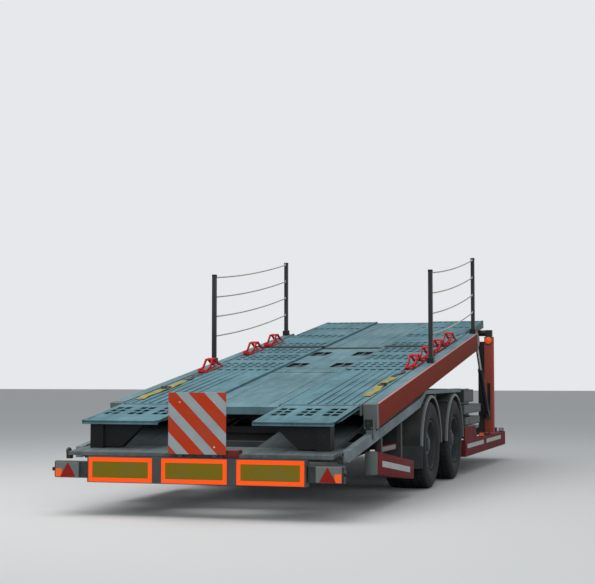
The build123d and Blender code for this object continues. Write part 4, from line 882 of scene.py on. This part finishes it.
signal_run, signal_up = span("column_lamps")[1:]
signal_x = column_out - COLUMN_W / 2
signals = bmesh.new()
bar(signals, about(signal_x, 0.09), (signal_run[1] - 0.008, signal_run[1]), signal_up, 1, FLAT_EASE)
for outline, coat in ((LAMP_RING, 1), (LAMP_DOME, 0)):
    spun(signals, outline, 28, coat, at((signal_x, signal_run[1] - 0.006, signal_up[1] - 0.048), -90, "Z"))
to_both_sides(signals)
settle("column_signals", signals, [amber_lens, housing_plastic], "amber_lens", ["column_lamps"],
       smooth=40)

# Cross head and tilt cylinders: the inner posts with the tube that the deck pivots on, and
# the hydraulic cylinders that tip it. Black paint; ground and chromed rods.


def chromed():
    """Hard chrome with a thin film of oil and dust."""
    coat = new_coat("chromed")
    film = coat.grain(30, 4).between(0.4, 0.8)
    tone = coat.mixed(film, (0.62, 0.63, 0.64), (0.38, 0.37, 0.35))
    return coat.show(tone, film * 0.2 + 0.14, film, 0.0001, 1.0)


dress(black_steel, "cross_head", "tilt_cylinder_right", "tilt_cylinder_left")
dress(chromed(), "tilt_rod_right", "tilt_rod_left")

# Side beams of the upper deck: pressed C sections with the red face outward and a wide
# galvanised flange on top, closed by a plate at the front and a grey end box at the rear,
# where a black latch hangs.
HINGE_DROP = 0.129
DECK_TOP = 0.146
BEAM_EASE = 0.010
BEAM_DEPTH = 0.215
BEAM_BACK, BEAM_FRONT = 1.160, 6.345
BEAM_T = 0.012
FLANGE_W = 0.12
LOWER_FLANGE_W = 0.06
joints = {joint["name"]: joint for joint in frame["joints"]}
pivot, hinge = (Vector(joints[name]["pos_m"]) for name in ("deck_tilt", "ramp_right_fold"))
reach, rise = hinge.y - pivot.y, pivot.z - hinge.z
SLOPE = atan2(rise, reach) + asin(HINGE_DROP / hypot(reach, rise))
PIVOT_S = REAR_Y - pivot.y
DECK = TRAILER @ Matrix.Translation((0, PIVOT_S, pivot.z)) @ Matrix.Rotation(SLOPE, 4, "X")
ON_DECK = {"place": DECK, "body": "upper_deck"}


def along(forward):
    """Distance along the upper deck from its pivot, for a place on its top."""
    return (forward - PIVOT_S + DECK_TOP * sin(SLOPE)) / cos(SLOPE)


zinc_deck = worn_zinc("zinc_deck", (0.128, 0.275, 0.322), (0.058, 0.142, 0.170), 0.45)
zinc_pale = worn_zinc("zinc_pale", (0.150, 0.278, 0.315), (0.080, 0.160, 0.188), 0.35)
# Pale pink for the rounded top outer edge of each beam: partly worn paint, partly a painted highlight.
worn_edge_and_highlight = road_red("worn_edge_and_highlight", (0.66, 0.33, 0.32), 0.1)
beam_out = span("side_beams")[0][1]
beam_in, beam_low = beam_out - FLANGE_W, DECK_TOP - BEAM_DEPTH
beam_run = (along(BEAM_BACK), along(BEAM_FRONT))
beams = bmesh.new()
prism(beams, [(beam_out, beam_low), (beam_out, DECK_TOP), (beam_in, DECK_TOP), (beam_in, DECK_TOP - BEAM_T),
              (beam_out - BEAM_T, DECK_TOP - BEAM_T), (beam_out - BEAM_T, beam_low + BEAM_T),
              (beam_out - LOWER_FLANGE_W, beam_low + BEAM_T), (beam_out - LOWER_FLANGE_W, beam_low)],
      beam_run, 0, ACROSS)
for face in beams.faces:
    if face.normal.z > 0.9 and face.calc_center_median().z > DECK_TOP - 0.001:
        face.material_index = 1
# The rounding of the top outer corner takes the pale edge finish, which is worn paint and painted highlight
# in one.
for height, coat in ((beam_low, 0), (DECK_TOP, 2)):
    corners = [edge for edge in beams.edges if abs(edge.verts[0].co.y - edge.verts[1].co.y) > 1
               and all(abs(vert.co.x - beam_out) < TOUCH for vert in edge.verts)
               and all(abs(vert.co.z - height) < TOUCH for vert in edge.verts)]
    ease_edges(beams, corners, BEAM_EASE, 3, coat)
bar(beams, (beam_in, beam_out - 0.001), (beam_run[1] - BEAM_T, beam_run[1]), (beam_low, DECK_TOP - 0.001), 0,
    THIN_EASE)
bar(beams, (beam_in + 0.004, beam_out - BEAM_T), within(beam_run, 0.002, 0.02), (DECK_TOP, DECK_TOP + 0.002),
    1)
to_both_sides(beams)
settle("deck_side_beams", beams, [beam_red, zinc_pale, worn_edge_and_highlight], "red_paint", ["side_beams"],
       smooth=35, **ON_DECK)
dress(grey_steel, "deck_brackets", "deck_end_boxes")
# The deck's crossmembers are in black paint so that the joint above them reads dark: partly their paint,
# partly painted shade.
dress(black_steel, "deck_beams", "deck_crossmembers")
end_right, end_run = span("deck_end_boxes")[:2]
end_x, latch = (end_right[1] - FLANGE_W, end_right[1]), along(end_run[0] + 0.01)
latches = bmesh.new()
bar(latches, within(end_x, 0.006, 0.030), (latch - 0.014, latch + 0.012),
    (beam_low + 0.022, beam_low + 0.085), 0, THICK_EASE)
bar(latches, within(end_x, 0.020, 0.060), (latch - 0.026, latch - 0.010),
    (beam_low + 0.010, beam_low + 0.055), 0, THICK_EASE)
to_both_sides(latches)
settle("end_box_latches", latches, [black_steel], "black_steel", **ON_DECK)

# Track plates of the upper deck: folded galvanised plates that the cars stand on, punched
# with rows of oblong holes whose edges are pressed up, and stiffened by long narrow ribs.
SKIN_T = 0.005
FOLD_H = 0.030
HOLE_L, HOLE_W = 0.078, 0.056
COLLAR_H = 0.006
RIB_W, RIB_H = 0.014, 0.011
EDGE_RIB_W = 0.022
TRACK_IN, TRACK_OUT = 0.370, beam_in - 0.012
RIB_UP = (DECK_TOP - COLLAR_H - 0.001, DECK_TOP)
RIB_FRONT = 3.12
PAN_UP = (DECK_TOP - FOLD_H + 0.001, DECK_TOP - FOLD_H + 0.005)
# columns: back, front, outer edge, places of the hole rows, whether it has ribs
SECTIONS = [(1.096, 3.290, TRACK_OUT, [3.20], True),
            (3.300, 5.050, TRACK_OUT, [3.42, 3.56, 3.70, 4.02, 4.16, 4.30, 4.62, 4.76, 4.90], False),
            (5.150, 6.330, TRACK_OUT, [5.28, 5.42, 6.10, 6.24], False),
            (6.340, 7.820, beam_out - 0.165, [7.00, 7.65], False)]


def pour_into(work, part):
    """Adds a part that was drawn in a mesh of its own."""
    scrap = bpy.data.meshes.new("scrap")
    part.to_mesh(scrap)
    part.free()
    work.from_mesh(scrap)
    bpy.data.meshes.remove(scrap)


def punched_plate(work, right, run, top, rows, columns, hole, fold):
    """A folded plate with oblong holes: rows and columns give the middles of the holes."""
    sheet = bmesh.new()
    middle = Vector((sum(right) / 2, sum(run) / 2, top))
    size = Vector((right[1] - right[0], run[1] - run[0], 1))
    bmesh.ops.create_grid(sheet, x_segments=1, y_segments=1, size=0.5,
                          matrix=Matrix.LocRotScale(middle, None, size))
    grid = ((0, columns), (1, rows))
    for axis, places in grid:
        normal = Vector((axis == 0, axis == 1, 0))
        for end in (end for place in places for end in about(place, hole[axis])):
            bmesh.ops.bisect_plane(sheet, geom=sheet.verts[:] + sheet.edges[:] + sheet.faces[:], dist=TOUCH,
                                   plane_co=normal * end, plane_no=normal)
    open_cells = [face for face in sheet.faces
                  if all(any(abs(face.calc_center_median()[axis] - place) < hole[axis] / 2
                             for place in places) for axis, places in grid)]
    rims = {vert for face in open_cells for vert in face.verts}
    bmesh.ops.delete(sheet, geom=open_cells, context="FACES")
    bmesh.ops.translate(sheet, vec=(0, 0, COLLAR_H), verts=[vert for vert in rims if vert.is_valid])
    bmesh.ops.translate(sheet, vec=(0, 0, -COLLAR_H), verts=sheet.verts)
    for axis, limits in ((0, right), (1, run)):
        for limit in limits:
            edges = [edge for edge in sheet.edges if edge.is_boundary
                     and all(abs(vert.co[axis] - limit) < TOUCH for vert in edge.verts)]
            folded = bmesh.ops.extrude_edge_only(sheet, edges=edges)
            bmesh.ops.translate(sheet, vec=(0, 0, -fold), verts=drawn_points(folded))
    bmesh.ops.remove_doubles(sheet, verts=sheet.verts, dist=TOUCH)
    bmesh.ops.recalc_face_normals(sheet, faces=sheet.faces)
    if max(sheet.faces, key=lambda face: face.calc_area()).normal.z < 0:
        bmesh.ops.reverse_faces(sheet, faces=sheet.faces)
    bmesh.ops.solidify(sheet, geom=sheet.faces[:], thickness=SKIN_T)
    pour_into(work, sheet)


tracks = bmesh.new()
for back, front, out, rows, ribbed in SECTIONS:
    run = (along(back), along(front))
    columns = [TRACK_IN + 0.075 + count * (out - TRACK_IN - 0.15) / 7 for count in range(8)]
    punched_plate(tracks, (TRACK_IN, out), run, DECK_TOP, [along(row) for row in rows], columns,
                  (HOLE_W, HOLE_L), FOLD_H)
    # A dark grimy pan under each plate shows through its holes: grime, and painted shade for the dark beneath
    # the deck.
    bar(tracks, within((TRACK_IN, out), 0.006), within(run, 0.006), PAN_UP, 2)
    for edge in (TRACK_IN + 0.004, out - EDGE_RIB_W - 0.004):
        bar(tracks, (edge, edge + EDGE_RIB_W), within(run, 0.01), RIB_UP, 1)
    for count in range(6 if ribbed else 0):
        across = TRACK_IN + 0.25 + count * (out - TRACK_IN - 0.34) / 5
        bar(tracks, (across, across + RIB_W), (run[0] + 0.03, along(RIB_FRONT)),
            (RIB_UP[0], DECK_TOP + RIB_H - COLLAR_H), 1, THIN_EASE)
to_both_sides(tracks)
settle("track_plates", tracks, [zinc_deck, zinc_pale, zinc_grime_and_shade], "galvanised", ["deck_tracks"], **ON_DECK)

# Centre plates: thin galvanised covers between the wheel tracks, laid on the inner beams and
# folded down at the rear. The middle one has oblong openings beside each track. Dark strips in
# the rubber finish lie in the seam of the rear one and the joint across the whole deck: painted
# shade for the dark gaps there.
COVER_T = 0.008
GAP_TO_TRACK = 0.004
LIP_H = 0.060
SEAM_S = 3.150
JOINT = (5.040, 5.160)
OPENING = (0.20, 0.34)
OPENING_X = 0.245
SMALL_RIB_X, SMALL_RIB_W = 0.24, 0.012
STRIP_EASE = 0.001
# columns: back, front, middles of the openings
COVERS = [(1.060, 3.400, []), (3.410, 5.050, [3.66, 4.57]), (5.150, 7.820, [])]
cover_out = TRACK_IN - GAP_TO_TRACK
cover_x = (-cover_out, cover_out)
cover_low = DECK_TOP - 0.030
cover_top = cover_low + COVER_T
covers = bmesh.new()
for back, front, rows in COVERS:
    run = (along(back), along(front))
    punched_plate(covers, cover_x, run, cover_top + COLLAR_H, [along(row) for row in rows],
                  [-OPENING_X, OPENING_X] if rows else [], OPENING, COVER_T)
    # Under each row of openings lies a dark grimy plate: grime, and painted shade for the hollow under them.
    for row in rows:
        bar(covers, cover_x, about(along(row), 0.4), (cover_top - 0.024, cover_top - 0.018), 2)
    for across in (-SMALL_RIB_X, SMALL_RIB_X):
        bar(covers, about(across, SMALL_RIB_W), within(run, 0.05), (cover_top - 0.001, cover_top + 0.003), 1,
            STRIP_EASE)
rear_edge, seam = along(COVERS[0][0]), along(SEAM_S)
bar(covers, cover_x, (rear_edge, rear_edge + COVER_T), (cover_low - LIP_H, cover_low), 0, THIN_EASE)
# Dark strips in the rubber finish over the seam and the joint: painted shade for the gaps there.
bar(covers, cover_x, (seam, seam + 0.012), (cover_top - 0.001, cover_top + 0.0015), 3)
for left, right, top in ((-TRACK_OUT, -TRACK_IN, DECK_TOP + 0.003), (-TRACK_IN, TRACK_IN, cover_top + 0.004),
                         (TRACK_IN, TRACK_OUT, DECK_TOP + 0.003)):
    bar(covers, (left, right), (along(JOINT[0]), along(JOINT[1])), (DECK_TOP - 0.029, top), 3, STRIP_EASE)
settle("centre_covers", covers, [zinc_pale, zinc_deck, zinc_grime_and_shade, rubber], "galvanised", ["centre_plates"],
       **ON_DECK)

# Rear ramps: short galvanised plates on welded ribs, hinged to the deck's rear edge, which
# thin out towards the tip. Rows of oblong holes drain them and give the tyres grip.
RAMP_L = 0.85
ROOT_GAP = 0.011
RAMP_THICK = 0.034
TIP_THICK = 0.014
TIP_LIP = 0.012
TAPER_L = 0.25
RAMP_EDGE = 0.014
RAMP_BAYS = 3
HOLE_STEP = 0.078
HOLE_ROWS = (0.350, 0.482, 0.614)
RAMP_HOLE = (0.060, 0.098)
BORDER_W = 0.030
BARREL_R = 0.017
ramp_in, ramp_out = span("ramp_right")[0]
hinge_f = -(reach * cos(SLOPE) + rise * sin(SLOPE))
tip_f, root_f = hinge_f - RAMP_L, hinge_f - ROOT_GAP
rib_pitch = (ramp_out - ramp_in - RAMP_EDGE) / RAMP_BAYS
bays = [ramp_in + (count + 0.5) * rib_pitch + RAMP_EDGE / 2 for count in range(RAMP_BAYS)]
under_skin = DECK_TOP - COLLAR_H - 0.002
RIB_SIDE = [(tip_f + 0.004, DECK_TOP - TIP_THICK), (tip_f + TAPER_L, DECK_TOP - RAMP_THICK),
            (root_f, DECK_TOP - RAMP_THICK), (root_f, under_skin), (tip_f + 0.004, under_skin)]
for side, facing in (("right", 1), ("left", -1)):
    ramp = bmesh.new()
    punched_plate(ramp, (ramp_in, ramp_out), (tip_f, root_f), DECK_TOP, [tip_f + row for row in HOLE_ROWS],
                  [place for bay in bays for place in about(bay, HOLE_STEP)], RAMP_HOLE, TIP_THICK)
    for across in (ramp_in, ramp_out - BORDER_W):
        bar(ramp, (across, across + BORDER_W), (tip_f, root_f - 0.01), RIB_UP, 2, THIN_EASE)
    for length, up in ((BORDER_W, RIB_UP), (TIP_LIP, (DECK_TOP - RAMP_THICK, DECK_TOP - COLLAR_H))):
        bar(ramp, (ramp_in, ramp_out), (tip_f, tip_f + length), up, 2, THIN_EASE)
    for count in range(RAMP_BAYS + 1):
        across = ramp_in + count * rib_pitch
        prism(ramp, RIB_SIDE, (across, across + RAMP_EDGE))
    spun(ramp, [(ramp_in, 0), (ramp_in, BARREL_R), (ramp_out, BARREL_R), (ramp_out, 0)], 20, 1,
         at((0, hinge_f, HINGE_DROP)))
    bmesh.ops.scale(ramp, vec=(facing, 1, 1), verts=ramp.verts)
    settle(f"rear_ramp_plate_{side}", ramp, [zinc_deck, dark_steel, zinc_pale], "galvanised",
           [f"ramp_{side}"], place=DECK, body=f"rear_ramp_{side}")

# Safety posts: square black steel posts in welded sockets on the side beams, with a rubber
# cap and small plated rings for the guard ropes.
POST_SIDE = 0.042
POST_X = beam_out - 0.045
CAP_SIDE, CAP_H = POST_SIDE + 0.004, 0.022
# columns: distance from the rear face, top height, way towards the other post
POSTS = [(3.670, 2.260, 1), (6.290, 2.600, -1)]
ROPE_DROPS = [0.030 + count * 0.215 for count in range(4)]
RING_REACH = 0.012
dress(black_steel, "safety_posts")
post_parts = bmesh.new()
for forward, top, towards in POSTS:
    bar(post_parts, about(POST_X, CAP_SIDE), about(forward, CAP_SIDE), (top - CAP_H, top), 0, FLAT_EASE)
    ring_s = forward + towards * (POST_SIDE / 2 + RING_REACH)
    for drop in ROPE_DROPS:
        spun(post_parts, eye_outline(0.014, 0.004, 0.004), 16, 1, at((POST_X, ring_s, top - drop)))
to_both_sides(post_parts)
settle("post_fittings", post_parts, [rubber, bolt_steel], "black_steel", smooth=40, body="upper_deck")

# Guard ropes: four pale laid ropes a side, tied between the rings of the two posts and
# hanging a little slack.
ROPE_R = 0.0075
ROPE_SAG = 0.032
ROPE_STEPS = 16
KNOT_REACH = 0.006


def rope_coat():
    """Weathered synthetic rope: pale, with darker twists."""
    coat = new_coat("pale_rope")
    place = coat.place()
    twist = ((coat.axis(place, "Y") + coat.axis(place, "Z")) / 0.018).fraction().between(0.2, 0.8)
    tone = coat.mixed(twist * 0.6, (0.56, 0.58, 0.48), (0.36, 0.37, 0.30))
    return coat.show(tone, twist * 0.1 + 0.75, twist, 0.001)


rope_finish = rope_coat()
for side, facing in (("right", 1), ("left", -1)):
    strands = bpy.data.curves.new(f"guard_ropes_{side}", "CURVE")
    strands.dimensions = "3D"
    strands.bevel_depth = ROPE_R
    strands.bevel_resolution = 2
    strands.use_fill_caps = True
    for drop in ROPE_DROPS:
        start, stop = (Vector((facing * POST_X, forward + towards * (POST_SIDE / 2 + KNOT_REACH), top - drop))
                       for forward, top, towards in POSTS)
        strand = strands.splines.new("POLY")
        strand.points.add(ROPE_STEPS)
        for step, point in enumerate(strand.points):
            share = step / ROPE_STEPS
            hang = Vector((0, 0, -ROPE_SAG * 4 * share * (1 - share)))
            point.co = (*(TRAILER @ (start.lerp(stop, share) + hang)), 1)
    strands.materials.append(rope_finish)
    ropes = bpy.data.objects.new(f"guard_ropes_{side}", strands)
    bpy.context.scene.collection.objects.link(ropes)
    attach(ropes, "upper_deck")
    if side == "right":
        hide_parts("safety_ropes")

# Wheel stops: red welded chocks laid beside the side beams, each an open frame of two bent
# flat bars with round bars and a narrow plate between them, and a lifting ring behind.
STOP_L = 0.58
STOP_W = 0.09
STOP_H = 0.125
STOP_BAR = 0.016
FLAT_T = 0.012
# columns: share of the length, share of the height
STOP_LINE = [(0.06, 0.0), (0.09, 0.20), (0.30, 0.40), (0.46, 0.94), (0.60, 0.94), (0.78, 0.42), (0.98, 0.0)]
# columns: side, distance from the rear face
STOPS = [(1, 3.170), (1, 3.800), (1, 4.430), (1, 5.090), (-1, 2.920), (-1, 4.340), (-1, 5.090)]
stop_red = road_red("stop_red", (0.55, 0.034, 0.036), 0.1)
stop_in, stop_out = TRACK_OUT - STOP_W, TRACK_OUT
stops = bmesh.new()
for facing, forward in STOPS:
    back = along(forward)
    line = [Vector((back + share * STOP_L, DECK_TOP + lift * STOP_H)) for share, lift in STOP_LINE]
    under = [(point.x, max(DECK_TOP, point.y - STOP_BAR * 1.3)) for point in line[1:-1]]
    under = [(x + 0.02, up) for x, up in under[:3]] + [(x - 0.02, up) for x, up in under[3:]]
    old = set(stops.faces)
    for across in (stop_in, stop_out - STOP_BAR):
        bar(stops, (across, across + STOP_BAR), (back + 0.02, back + STOP_L), (DECK_TOP, DECK_TOP + 0.008), 0,
            THIN_EASE)
    for across in (stop_in + 0.002, stop_out - FLAT_T):
        prism(stops, [*line, *reversed(under)], (across, across + FLAT_T))
    prism(stops, [line[3], line[4], (line[4].x, line[4].y - 0.006), (line[3].x, line[3].y - 0.006)],
          (stop_in + FLAT_T, stop_out - FLAT_T))
    for point in (line[0], line[3], line[4], line[5]):
        spun(stops, [(stop_in, 0), (stop_in, STOP_BAR / 2), (stop_out, STOP_BAR / 2), (stop_out, 0)], 14, 0,
             at((0, point.x, max(point.y - 0.006, DECK_TOP + STOP_BAR / 2))))
    spun(stops, eye_outline(0.042, 0.009, 0.009), 28, 0,
         at((TRACK_OUT - STOP_W / 2, back + 0.05, DECK_TOP + 0.026), 72, "Y"))
    made = {vert for face in stops.faces if face not in old for vert in face.verts}
    bmesh.ops.scale(stops, vec=(facing, 1, 1), verts=list(made))
settle("wheel_chocks", stops, [stop_red], "bright_red", ["wheel_stops"], smooth=35, **ON_DECK)

# Tie straps: yellow woven webbing with a steel ratchet, left lying along the edges of the
# tracks behind the wheel stops, and the dark loose end of each.
STRAP_W = 0.078
STRAP_T = 0.003
STRAP_STEPS = 36
STRAP_X = 1.045
LOOSE_SHARE = 0.55
WAVE_H = 0.006
# columns: side, distance from the rear face, length, finish, sideways wander
STRAPS = [(1, 1.530, 1.10, 0, 0.014), (1, 2.640, 0.48, 2, -0.020),
          (-1, 1.300, 1.12, 0, 0.012), (-1, 2.430, 0.42, 2, -0.018)]
# columns: limits to the right of the strap's middle, from its rear end and above the deck
RATCHET = [((-0.032, 0.032), (0.58, 0.70), (0.001, 0.016)), ((-0.008, 0.044), (0.61, 0.65), (0.010, 0.026))]


def webbing():
    """Yellow polyester webbing, ribbed across and grey with dirt."""
    coat = new_coat("webbing")
    ribs = (coat.axis(coat.place(), "Y") / 0.006).fraction().between(0.2, 0.8)
    dirt = (coat.grain(12, 5) * 0.7 + coat.grain(60, 3) * 0.3).between(0.42, 0.7) * 0.6
    tone = coat.mixed(ribs * 0.35, (0.42, 0.36, 0.085), (0.26, 0.21, 0.05))
    return coat.show(coat.mixed(dirt, tone, (0.105, 0.070, 0.028)), dirt * 0.1 + 0.8, ribs, 0.0008)


webbing_finish = webbing()
loose_end = rubber_coat("loose_end", (0.060, 0.022, 0.020), 0.5)
straps = bmesh.new()
for facing, forward, length, coat, wander in STRAPS:
    back, width = along(forward), 1 if coat == 0 else LOOSE_SHARE
    strap = bmesh.new()
    bmesh.ops.create_grid(strap, x_segments=1, y_segments=STRAP_STEPS, size=0.5,
                          matrix=Matrix.LocRotScale(Vector((0, 0.5, 0)), None, Vector((STRAP_W, 1, 1))))
    for vert in strap.verts:
        share = vert.co.y
        vert.co = (vert.co.x * width + STRAP_X + wander * sin(share * 7), back + share * length,
                   DECK_TOP + 0.001 + WAVE_H * (1 - cos(share * 21)) / 2)
    for face in strap.faces:
        face.material_index = coat
    bmesh.ops.recalc_face_normals(strap, faces=strap.faces)
    if strap.faces[:][0].normal.z < 0:
        bmesh.ops.reverse_faces(strap, faces=strap.faces)
    bmesh.ops.solidify(strap, geom=strap.faces[:], thickness=-STRAP_T)
    for right, ahead, up in RATCHET if coat == 0 else ():
        bar(strap, (STRAP_X + right[0], STRAP_X + right[1]), (back + ahead[0], back + ahead[1]),
            (DECK_TOP + up[0], DECK_TOP + up[1]), 1, FLAT_EASE)
    bmesh.ops.scale(strap, vec=(facing, 1, 1), verts=strap.verts)
    pour_into(straps, strap)
settle("webbing_straps", straps, [webbing_finish, black_steel, loose_end], "strap", ["tie_straps"],
       smooth=40, **ON_DECK)

# Drawbar and towing eye: a low welded box beam with two struts, and the forged eye on its
# shank, worn bright in the bore. The service panel stands on it for the truck's lines.
COUPLING = [(0, 0), (0, 0.024), (0.012, 0.026), (0.030, 0.022), (0.034, 0.027), (0.042, 0.027),
            (0.044, 0.012), (0.044, 0)]
COUPLING_PITCH = 0.068
PANEL_DROP = 0.075
PANEL_RIM = 0.020


def forged():
    """Forged steel with scale and rust, polished where the pin runs."""
    coat = new_coat("forged_eye")
    cloud = coat.grain(24, 5)
    tone = coat.mixed(cloud.between(0.38, 0.7), (0.10, 0.095, 0.09), (0.14, 0.075, 0.045))
    return coat.show(tone, cloud * 0.3 + 0.38, cloud, 0.0008, 0.6)


dress(dark_steel, "drawbar", "service_panel")
dress(forged(), "towing_eye")
signal_red = plastic_coat("signal_red", (0.45, 0.03, 0.025), 0.35)
signal_yellow = plastic_coat("signal_yellow", (0.55, 0.38, 0.03), 0.35)
panel_run, panel_up = span("service_panel")[1:]
couplings = bmesh.new()
for count, coat in ((-1.5, 0), (-0.5, 2), (0.5, 2), (1.5, 1)):
    spun(couplings, COUPLING, 20, coat,
         at((count * COUPLING_PITCH, panel_run[0] + PANEL_RIM, panel_up[1] - PANEL_DROP), 90, "Z"))
settle("line_couplings", couplings, [signal_red, signal_yellow, housing_plastic], "dark_steel", smooth=40)

# Jack: a square steel tube beside the drawbar with a crank gearbox, and the leg and foot
# that slide out of it and carry the parked trailer's front end.
dress(dark_steel, "jack_tube")
dress(grey_steel, "jack_leg")

# Floor, light and camera: a plain pale studio round the parked trailer, seen from behind
# and to its right, low down, as in the photograph.
FLOOR_REACH = 90
SKY = (0.80, 0.86, 0.92, 1)
BACKDROP = (0.86, 0.88, 0.90, 1)
# columns: name, place, aim, width and depth, power in watts
SOFTBOXES = [("overhead", (1.5, 4.0, 8.5), (0, 0.5, 0.8), (9, 12), 620),
             ("behind", (-6.0, 13.0, 5.0), (0, 3.0, 0.8), (5, 3), 190)]
FOCAL_PIXELS = 1350
IMAGE_WIDTH = 595
CAMERA_PLACE = (-4.01, 15.421, 1.15)
CAMERA_TURN, CAMERA_TILT = radians(17.05), radians(3.55)


def stand(name, data, place, look):
    """Puts a lamp or a camera in its place and turns it to look in one direction."""
    made = bpy.data.objects.new(name, data)
    made.location = place
    made.rotation_euler = Vector(look).to_track_quat("-Z", "Y").to_euler()
    bpy.context.scene.collection.objects.link(made)
    return made


floor_mesh = bmesh.new()
bmesh.ops.create_grid(floor_mesh, x_segments=1, y_segments=1, size=FLOOR_REACH)
floor_data = bpy.data.meshes.new("floor")
floor_mesh.to_mesh(floor_data)
floor_mesh.free()
floor_data.materials.append(new_coat("floor_paper").show((0.70, 0.70, 0.69, 1), 0.9))
floor = bpy.data.objects.new("floor", floor_data)
bpy.context.scene.collection.objects.link(floor)

world = bpy.data.worlds.new("studio")
bpy.context.scene.world = world
sky = Coat(world)
rays = [sky.node("ShaderNodeLightPath", {}, {}, name)
        for name in ("Is Camera Ray", "Is Glossy Ray", "Is Transmission Ray")]
seen = (rays[0] + rays[1] + rays[2]).between(0, 1)
background = sky.tree.nodes["Background"]
sky.fill(background, {"Color": SKY, "Strength": 0.42})
backdrop = sky.node("ShaderNodeBackground", {}, {"Color": BACKDROP, "Strength": 0.92})
lit = Reading(sky, background.outputs[0])
mixed_sky = sky.node("ShaderNodeMixShader", {}, {0: seen, 1: lit, 2: backdrop})
sky.fill(sky.tree.nodes["World Output"], {"Surface": mixed_sky})

for name, place, aim, size, power in SOFTBOXES:
    light = bpy.data.lights.new(name, "AREA")
    light.shape, light.size, light.size_y, light.energy = "RECTANGLE", size[0], size[1], power
    stand(name, light, place, Vector(aim) - Vector(place))

camera_data = bpy.data.cameras.new("camera")
camera_data.lens = FOCAL_PIXELS / IMAGE_WIDTH * camera_data.sensor_width
look = (sin(CAMERA_TURN) * cos(CAMERA_TILT), -cos(CAMERA_TURN) * cos(CAMERA_TILT), sin(CAMERA_TILT))
bpy.context.scene.camera = stand("camera", camera_data, CAMERA_PLACE, look)
bpy.context.scene.view_settings.view_transform = "Standard"
